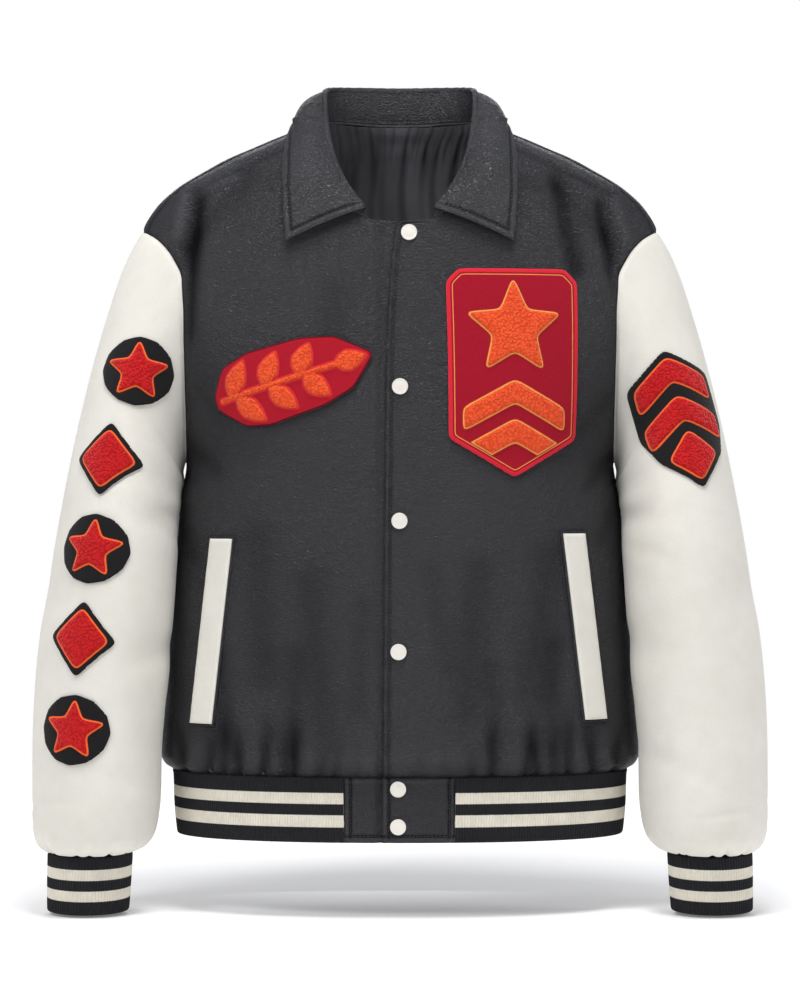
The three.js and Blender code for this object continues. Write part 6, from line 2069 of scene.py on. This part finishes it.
@dataclass
class Welt:
    """Felt pocket welt of one front, with the leather lip that frames it."""

    forms: Forms
    wardrobe: Wardrobe
    half: Half
    top: tuple[float, float]
    low: tuple[float, float]
    length: float
    width: float = 21.0
    gap: float = 0.35
    thick: float = 2.2
    lip: float = 1.0
    lip_out: float = 1.35
    stitch_out: float = 4.2

    def surface(self, across: Array, down: Array, lift: Array) -> Array:
        """Return points over the front, across the welt and down it."""
        body = self.forms.body
        share = down / self.length
        x = self.top[0] + (self.low[0] - self.top[0]) * share + across
        z = self.top[1] + (self.low[1] - self.top[1]) * share
        return body.front_at(x, z) + body.front_normal(x, z) * lift[..., None]

    def build(self) -> list[Piece]:
        """Build the welt, its lip and the stitches round it."""
        half_width = self.width / 2
        across = (-half_width + self.width * spaced(20, 0.6))[None]
        down = (self.length * spaced(90, 0.35))[:, None]
        across, down = np.broadcast_arrays(across, down)
        near = np.minimum(half_width - np.abs(across), np.minimum(down, self.length - down))
        lift = self.gap + self.thick - 0.9 * bumps(near, 0, 1.4) + 0.12 * ripple(down, 30, 1)
        outer = self.surface(across, down, lift)
        inner = resampled(self.surface(across, down, np.full(across.shape, self.gap)), 30, 6)
        name = f"welt_{self.half.word}"
        felt = self.wardrobe["felt"]
        piece = cloth_wall(name + "_felt", outer, inner, False).replace(name, [felt, felt], "felt")
        front = f"front_{self.half.word}"
        declare_sheet(piece, self.width + 2, self.length + 2, grid_area(outer), Held.LAID, [front])
        lip = MeshParts(name + "_lip")
        add_tube(lip, self.outline(self.lip_out, 0.25), self.lip, 8, True)
        frame_lip = lip.build([self.wardrobe["leather"]], "leather")
        path = self.outline(self.stitch_out, 0.0)
        normal = unit(self.outline(self.stitch_out, 1.0) - path)
        thread = stitching(name + "_stitching", [(path, normal)], self.wardrobe)
        return [piece, frame_lip, thread]

    def outline(self, out: float, lift: float) -> Array:
        """Return a closed path round the welt, at a distance outside it."""
        side, end = self.width / 2 + out, self.length + out
        corners = [(-side, -out), (side, -out), (side, end), (-side, end), (-side, -out)]
        path = []
        for (a0, d0), (a1, d1) in zip(corners, corners[1:]):
            steps = max(4, int(math.hypot(a1 - a0, d1 - d0) / 2.5))
            share = np.arange(steps) / steps
            path.append(point(a0 + (a1 - a0) * share, d0 + (d1 - d0) * share, 0)[:, :2])
        flat = np.concatenate(path)
        return self.surface(flat[:, 0], flat[:, 1], np.full(len(flat), lift))


@dataclass
class SnapRow:
    """Snap caps down the placket, one modelled and the others copied from it."""

    forms: Forms
    wardrobe: Wardrobe
    radius: float = 7.5
    gap: float = 0.3
    # Steps of the cap's top from the rim inwards: how far in, and how far the rest then rises
    profile: tuple[tuple[float, float], ...] = ((0.5, 0.45), (1.1, -0.4), (0.5, 0.0), (2.6, 0.35), (1.4, 0.1))
    places: tuple[tuple[str, float, float], ...] = (
        ("snap_neck", 8.4, -116.5), ("snap_chest", 0.0, -260.0), ("snap_middle", -0.5, -384.0),
        ("snap_waist", -1.4, -505.0), ("snap_hem_top", -1.8, -632.8), ("snap_hem_low", -1.8, -668.0),
    )

    def model_cap(self) -> Piece:
        """Model one cap, flat on the ground at the origin: a disc with a soft rim and a slight dome."""
        bpy.ops.object.select_all(action="DESELECT")
        bpy.ops.mesh.primitive_cylinder_add(
            vertices=32, radius=self.radius * MM, depth=1.7 * MM, location=(0, 0, 0.85 * MM)
        )
        cap = bpy.context.object
        bpy.ops.object.mode_set(mode="EDIT")
        bpy.ops.mesh.select_mode(type="FACE")
        self.select_top(cap)
        for inset, lift in self.profile:
            bpy.ops.mesh.inset(thickness=inset * MM)
            if lift:
                bpy.ops.transform.translate(value=(0, 0, lift * MM))
        bpy.ops.object.mode_set(mode="OBJECT")
        rounding = cap.modifiers.new("rounding", "BEVEL")
        rounding.width = 0.18 * MM
        rounding.segments = 2
        smoothing = cap.modifiers.new("smoothing", "SUBSURF")
        smoothing.levels = smoothing.render_levels = 1
        for modifier in ("rounding", "smoothing"):
            bpy.ops.object.modifier_apply(modifier=modifier)
        return cap

    @staticmethod
    def select_top(cap: Piece) -> None:
        """Select the face that looks up."""
        bpy.ops.mesh.select_all(action="DESELECT")
        bpy.ops.object.mode_set(mode="OBJECT")
        for face in cap.data.polygons:
            face.select = face.normal.z > 0.9
        bpy.ops.object.mode_set(mode="EDIT")

    def build(self) -> list[Piece]:
        """Place a copy of the cap on each snap's place."""
        cap = self.model_cap()
        shape = np.zeros(len(cap.data.vertices) * 3)
        cap.data.vertices.foreach_get("co", shape)
        shape = shape.reshape(-1, 3)
        pieces = []
        for name, x, z in self.places:
            normal = self.forms.body.front_normal(np.array(x), np.array(z))
            centre = self.forms.body.front_at(np.array(x), np.array(z)) + normal * self.gap
            right = unit(np.cross(np.array([0.0, 0.0, 1.0]), normal))
            up = np.cross(normal, right)
            placed = centre * MM + shape @ np.stack([right, up, normal])
            mesh = cap.data.copy()
            mesh.vertices.foreach_set("co", placed.reshape(-1))
            mesh.materials.clear()
            mesh.materials.append(self.wardrobe["snap"])
            mesh.update()
            piece = hang(name + "_cap", mesh, 40)
            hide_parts(name)
            pieces.append(piece)
        bpy.data.objects.remove(cap)
        return pieces


# Outlines of the patches in millimetres


AHEAD = (0.0, -1.0, 0.0)


def star(x: float, y: float, radius: float, inner: float) -> Array:
    """Return a five-pointed star."""
    turn = np.pi / 2 + np.arange(10) * np.pi / 5
    reach = np.where(np.arange(10) % 2, inner, radius)
    return np.stack([x + reach * np.cos(turn), y + reach * np.sin(turn)], -1)


def chevron(x: float, y: float, half_width: float, drop: float, thick: float) -> Array:
    """Return a bent bar with its point up."""
    side = [(-half_width, -drop), (0, 0), (half_width, -drop)]
    under = [(half_width, -drop - thick), (0, -thick), (-half_width, -drop - thick)]
    return np.array(side + under, float) + (x, y)


def lozenge(x: float, y: float, half_width: float, half_height: float) -> Array:
    """Return a lozenge."""
    return np.array([(0, half_height), (-half_width, 0), (0, -half_height), (half_width, 0)], float) + (x, y)


def leaf_outline(x: float, y: float, length: float, width: float, turn: float) -> Array:
    """Return a pointed leaf that grows from a place."""
    side = [(0.2, 0.36), (0.45, 0.5), (0.74, 0.32)]
    flat = np.array([(0, 0)] + side + [(1, 0)] + [(x, -y) for x, y in side[::-1]]) * (length, width)
    cosine, sine = math.cos(turn), math.sin(turn)
    return flat @ np.array([[cosine, sine], [-sine, cosine]]) + (x, y)


def sprig() -> list[Array]:
    """Return a stem with paired leaves and an end leaf."""
    stem = np.array([(-70, -2.6), (54, -2.6), (54, 2.6), (-70, 2.6)], float)
    leaves = [stem]
    for number in range(3):
        x = -60 + 34 * number
        length = 38 * (1 - 0.07 * number)
        leaves.append(leaf_outline(x, 1, length, 20, 0.9))
        leaves.append(leaf_outline(x + 6, -1, length, 20, -0.9))
    leaves.append(leaf_outline(44, 0, 32, 20, 0))
    return leaves


def ring_outline(radius: float) -> Array:
    """Return a round outline."""
    turn = np.arange(12) * np.pi / 6
    return radius * np.stack([np.cos(turn), np.sin(turn)], -1)


def rounded(outline: Array, times: int = 2, cut: float = 0.12) -> Array:
    """Return an outline with its corners cut back a few times."""
    for _ in range(times):
        after = np.roll(outline, -1, axis=0)
        edge = after - outline
        share = np.minimum(cut, 3.0 / np.maximum(np.linalg.norm(edge, axis=1), 1e-6))[:, None]
        outline = np.stack([outline + edge * share, after - edge * share], 1).reshape(-1, 2)
        cut = 0.25
    return outline


def to_outline(places: Array, outline: Array) -> tuple[Array, Array]:
    """Return the distance inside an outline, negative outside, and the nearest place on it."""
    start = outline
    edge = np.roll(outline, -1, axis=0) - start
    offset = places[:, None, :] - start[None]
    share = np.clip((offset * edge).sum(-1) / (edge * edge).sum(-1), 0, 1)
    nearest = start[None] + share[..., None] * edge[None]
    gap = np.linalg.norm(places[:, None] - nearest, axis=-1)
    pick = gap.argmin(1)
    rows = np.arange(len(places))
    y, low = places[:, None, 1], start[None, :, 1]
    high = low + edge[None, :, 1]
    crossed = (low > y) != (high > y)
    slanted = np.abs(edge[:, 1]) > 1e-9
    slope = np.where(slanted, edge[:, 0] / np.where(slanted, edge[:, 1], 1), 0)
    left_of = places[:, None, 0] < start[None, :, 0] + (y - low) * slope[None]
    inside = (crossed & left_of).sum(1) % 2 == 1
    return np.where(inside, 1, -1) * gap[rows, pick], nearest[rows, pick]


@dataclass
class Patch:
    """Felt backing with chenille raised on it, laid on a surface in a frame of its own."""

    name: str
    wardrobe: Wardrobe
    finish: str
    surface: Callable
    centre: tuple[float, float]
    facing: tuple[float, float, float]
    turn_deg: float
    backing: Array
    motifs: list[Array]
    rests_on: str
    margin: float = 3.0
    step: float = 1.25
    low: float = 0.3
    felt: float = 2.5
    pile: float = 2.5

    def outward(self, u: Array, v: Array) -> Array:
        """Return the surface's normals on its shown side."""
        normal = normals_of(self.surface, np.asarray(u, float), np.asarray(v, float), 1, 1)
        side = np.sign((normal * np.array(self.facing)).sum(-1, keepdims=True))
        return normal * side

    def frame(self) -> tuple[Array, Array, Array]:
        """Return the middle, the rightward and the upward direction of the patch."""
        centre = self.surface(np.array(self.centre[0]), np.array(self.centre[1]))
        normal = self.outward(*self.centre)
        right = unit(np.cross(np.array([0.0, 0.0, 1.0]), normal))
        up = np.cross(normal, right)
        turn = math.radians(self.turn_deg)
        turned_right = right * math.cos(turn) + up * math.sin(turn)
        turned_up = up * math.cos(turn) - right * math.sin(turn)
        return centre, turned_right, turned_up

    def on_surface(self, places: Array) -> tuple[Array, Array]:
        """Return the surface's points and normals under places of the patch's plane."""
        centre, right, up = self.frame()
        u = np.full(len(places), float(self.centre[0]))
        v = np.full(len(places), float(self.centre[1]))

        def flat(a: Array, b: Array) -> Array:
            """Return the surface's points in the patch's plane."""
            offset = self.surface(a, b) - centre
            return np.stack([offset @ right, offset @ up], -1)

        for _ in range(14):
            here = flat(u, v)
            du = flat(u + 0.5, v) - flat(u - 0.5, v)
            dv = flat(u, v + 0.5) - flat(u, v - 0.5)
            missing = places - here
            det = du[:, 0] * dv[:, 1] - du[:, 1] * dv[:, 0]
            det = np.where(np.abs(det) < 1e-4, 1e-4, det)
            step_u = (missing[:, 0] * dv[:, 1] - missing[:, 1] * dv[:, 0]) / det
            step_v = (du[:, 0] * missing[:, 1] - du[:, 1] * missing[:, 0]) / det
            u = u + np.clip(step_u, -14, 14)
            v = v + np.clip(step_v, -14, 14)
        return self.surface(u, v), self.outward(u, v)

    def loops(self, places: Array) -> Array:
        """Return the uneven top of the chenille's loops, from 0 to 1."""
        x, y = places[:, 0], places[:, 1]
        first = np.sin(2.45 * x + 1.1 * np.sin(0.9 * y)) * np.sin(2.3 * y + 1.3 * np.sin(0.8 * x + 1))
        second = np.sin(1.3 * x - 1.7 * y + 2) * np.sin(1.6 * x + 1.1 * y)
        return 0.5 + 0.3 * first + 0.2 * second

    def build(self) -> list[Piece]:
        """Build the patch."""
        outline = rounded(self.backing)
        motifs = [rounded(motif) for motif in self.motifs]
        low_corner, high_corner = outline.min(0) - self.step, outline.max(0) + self.step
        xs = np.arange(low_corner[0], high_corner[0] + self.step, self.step)
        ys = np.arange(low_corner[1], high_corner[1] + self.step, self.step)
        places = np.stack(np.meshgrid(xs, ys, indexing="xy"), -1)
        shape = places.shape[:2]
        flat = places.reshape(-1, 2)
        inside, nearest = to_outline(flat, outline)
        kept = (inside > -0.75 * self.step).reshape(shape)
        cells = kept[:-1, :-1] & kept[1:, :-1] & kept[1:, 1:] & kept[:-1, 1:]
        flat = np.where((inside < 0.4 * self.step)[:, None], nearest, flat)
        edge = np.maximum(to_outline(flat, outline)[0], 0)
        motif_inside = np.max([to_outline(flat, motif)[0] for motif in motifs], axis=0)
        motif_inside = np.minimum(motif_inside, edge - self.margin)
        raised = np.where(motif_inside > 0, 1 - np.exp(-np.maximum(motif_inside, 0) / 0.9), 0)
        lift = self.felt - 0.7 * bumps(edge, 0, 0.9) + 0.06 * ripple(flat[:, 0] + flat[:, 1], 7, 1)
        lift = lift + raised * (self.pile - 0.7 + 0.7 * self.loops(flat))
        used = np.zeros(shape, bool)
        for row, column in np.ndindex(2, 2):
            used[row : shape[0] - 1 + row, column : shape[1] - 1 + column] |= cells
        pick = used.reshape(-1)
        number = np.full(len(flat), -1)
        number[pick] = np.arange(pick.sum())
        on, normal = self.on_surface(flat[pick])
        parts = MeshParts(self.name + "_chenille")
        values = {"edge": edge[pick], "pile": motif_inside[pick]}
        top = parts.add_points(on + normal * lift[pick][:, None], None, **values)
        bottom = parts.add_points(on + normal * self.low, None, **values)
        number = number.reshape(shape)
        quads = np.stack([number[:-1, :-1], number[:-1, 1:], number[1:, 1:], number[1:, :-1]], -1)[cells]
        parts.add_faces(top[quads])
        parts.add_faces(bottom[quads][:, ::-1])
        seen = {(int(a), int(b)) for quad in quads for a, b in zip(quad, np.roll(quad, -1))}
        rim = [(a, b) for a, b in sorted(seen) if (b, a) not in seen]
        parts.add_faces([(top[b], top[a], bottom[a], bottom[b]) for a, b in rim])
        slot = "red_chenille" if "sleeve" in self.name else "orange_chenille"
        piece = parts.replace(self.name, [self.wardrobe[self.finish]], slot, 60)
        size = outline.max(0) - outline.min(0)
        after = np.roll(outline, -1, axis=0)
        area = abs(float((outline[:, 0] * after[:, 1] - outline[:, 1] * after[:, 0]).sum())) / 2
        declare_sheet(piece, float(size[0]), float(size[1]), area * MM * MM, Held.LAID, [self.rests_on])
        return [piece]


@dataclass
class PatchSet:
    """All the patches: generic motifs on the chest and down the sleeves."""

    forms: Forms
    wardrobe: Wardrobe

    def chest(self) -> list[Patch]:
        """Return the two chest patches."""
        shield = np.array([(-62, 84), (-50, 96), (50, 96), (62, 84), (62, -62), (0, -98), (-62, -62)], float)
        corners = [
            (-76, -6), (-76, 7), (-60, 30), (-34, 36), (20, 34), (52, 26), (80, 3), (80, -3), (56, -26),
            (26, -34), (-28, -36), (-52, -30),
        ]
        backing = np.array(corners, float)
        body = self.forms.body
        return [
            Patch(
                "patch_chest_left", self.wardrobe, "chest_shield", body.front_at, (106, -246), AHEAD, 0,
                shield, [star(0, 40, 46, 21), chevron(0, -8, 48, 26, 20), chevron(0, -44, 48, 26, 20)],
                "front_left", 8.0,
            ),
            Patch(
                "patch_chest_right", self.wardrobe, "chest_sprig", body.front_at, (-103, -253), AHEAD, 17,
                backing, sprig(), "front_right",
            ),
        ]

    def sleeves(self) -> list[Patch]:
        """Return the motifs down the right sleeve and the patch on the left one."""
        pads = (ring_outline(33), [star(0, 0, 28, 13)])
        lozenges = (lozenge(0, 0, 32, 36), [lozenge(0, 0, 25, 28)])
        right = self.forms.sleeve.on_half(Half.RIGHT)
        patches = []
        for number, tenths in enumerate((28.5, 52, 72.6, 93.3, 114.3)):
            backing, motifs = lozenges if number % 2 else pads
            name = f"patch_sleeve_right_{number + 1}"
            place = ("sleeve_motif", right, (74, tenths), AHEAD, -5)
            patches.append(Patch(name, self.wardrobe, *place, backing, motifs, "sleeve_right"))
        corners = [(0, 66), (38, 40), (38, -10), (30, -38), (0, -70), (-30, -38), (-38, -10), (-38, 40)]
        backing = np.array(corners, float)
        motifs = [chevron(0, 58, 32, 22, 22), chevron(0, 20, 32, 22, 22), lozenge(0, -38, 22, 24)]
        place = ("sleeve_motif", self.forms.sleeve.on_half(Half.LEFT), (74, 41), (0.3, -1.0, 0.0), 14)
        left = Patch("patch_sleeve_left", self.wardrobe, *place, backing, motifs, "sleeve_left")
        return patches + [left]

    def build(self) -> list[Piece]:
        """Build every patch."""
        return [piece for patch in self.chest() + self.sleeves() for piece in patch.build()]


@dataclass
class Studio:
    """Pale floor, soft lights and the camera at the photograph's angle."""

    floor_z: float = -0.7545
    floor_size: float = 1.7
    floor_glow: float = 0.16
    air: Colour = (0.19, 0.195, 0.215)
    camera_at: tuple[float, float, float] = (0.0, -3.0, -0.3643)
    lens: float = 112.6
    lamps: tuple[tuple[str, tuple, tuple, float, float], ...] = (
        ("key", (-1.5, -1.7, 1.7), (0, 0, -0.35), 1.0, 33), ("fill", (1.9, -2.4, 0.5), (0, 0, -0.4), 1.5, 16),
        ("top", (0.1, -0.7, 1.8), (0, 0, -0.15), 0.9, 40),
        ("left_side", (-2.3, 0.4, 0.1), (0, 0, -0.4), 1.2, 9),
        ("right_side", (2.3, 0.4, 0.1), (0, 0, -0.4), 1.2, 9),
        ("rear", (0.0, 2.6, 0.8), (0, 0, -0.35), 1.8, 24),
    )

    def build_floor(self) -> None:
        """Add the floor."""
        bpy.ops.object.select_all(action="DESELECT")
        bpy.ops.mesh.primitive_circle_add(
            vertices=96, radius=self.floor_size, fill_type="NGON", location=(0, 0, self.floor_z)
        )
        floor = bpy.context.object
        floor.name = "studio_floor"
        material = bpy.data.materials.new("pale_floor")
        material.use_nodes = True
        body = material.node_tree.nodes["Principled BSDF"]
        settings = {
            "Base Color": (0.96, 0.96, 0.965, 1), "Roughness": 0.85, "Emission Color": (1, 1, 1, 1),
            "Emission Strength": self.floor_glow, "Specular IOR Level": 0.2,
        }
        for name, value in settings.items():
            body.inputs[name].default_value = value
        floor.data.materials.append(material)

    def build_world(self) -> None:
        """Make the air round the jacket white to the eye and soft grey to its surfaces."""
        world = bpy.data.worlds.new("studio")
        world.use_nodes = True
        bpy.context.scene.world = world
        shader = Shader(world.node_tree)
        seen = shader.add("LightPath").outputs["Is Camera Ray"]
        background = world.node_tree.nodes["Background"]
        shader.link(shader.mix(seen, self.air, (1.0, 1.0, 1.0)), background.inputs["Color"])

    def build_lights(self) -> None:
        """Add the soft lights, each turned to the jacket."""
        for name, place, target, size, watts in self.lamps:
            lamp = bpy.data.lights.new(name, "AREA")
            lamp.shape = "DISK"
            lamp.size = size
            lamp.energy = watts
            light = bpy.data.objects.new(name, lamp)
            light.location = place
            aim = Vector(target) - Vector(place)
            light.rotation_euler = aim.to_track_quat("-Z", "Y").to_euler()
            bpy.context.scene.collection.objects.link(light)

    def build(self) -> None:
        """Build the floor, the air, the lights and the camera."""
        bpy.context.scene.view_settings.view_transform = "Standard"
        self.build_floor()
        self.build_world()
        self.build_lights()
        camera = bpy.data.objects.new("camera", bpy.data.cameras.new("camera"))
        camera.data.lens = self.lens
        camera.data.sensor_width = 36
        camera.location = self.camera_at
        camera.rotation_euler = (math.radians(90), 0, 0)
        bpy.context.scene.collection.objects.link(camera)
        bpy.context.scene.camera = camera


def main() -> None:
    """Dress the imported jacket, piece by piece, and light it."""
    logging.basicConfig(level=logging.INFO, format="%(name)s: %(message)s")
    forms, wardrobe = Forms(), Wardrobe()
    assemblies = [
        FrontPanel(forms, wardrobe, half=Half.LEFT), FrontPanel(forms, wardrobe, half=Half.RIGHT),
        BackPanel(forms, wardrobe), BackLining(forms, wardrobe), SleeveShell(forms, wardrobe, Half.LEFT),
        SleeveShell(forms, wardrobe, Half.RIGHT), CuffBand(wardrobe, Half.LEFT),
        CuffBand(wardrobe, Half.RIGHT), HemBand(forms, wardrobe),
        HemTab(forms, wardrobe, Half.LEFT, float(forms.body.placket(HEM_Z)), 51.0, (-10.4, 46.0)),
        HemTab(forms, wardrobe, Half.RIGHT, -52.0, 12.0, (-46.0,)), Collar(forms, wardrobe),
        Welt(forms, wardrobe, Half.LEFT, (162, -396), (183, -570), 175.0),
        Welt(forms, wardrobe, Half.RIGHT, (-166.5, -401), (-186, -574), 174.0), SnapRow(forms, wardrobe),
        PatchSet(forms, wardrobe),
    ]
    for assembly in assemblies:
        names = ", ".join(piece.name for piece in assembly.build())
        LOG.info("%s made %s", type(assembly).__name__, names)
    Studio().build()


if __name__ == "__main__":
    main()
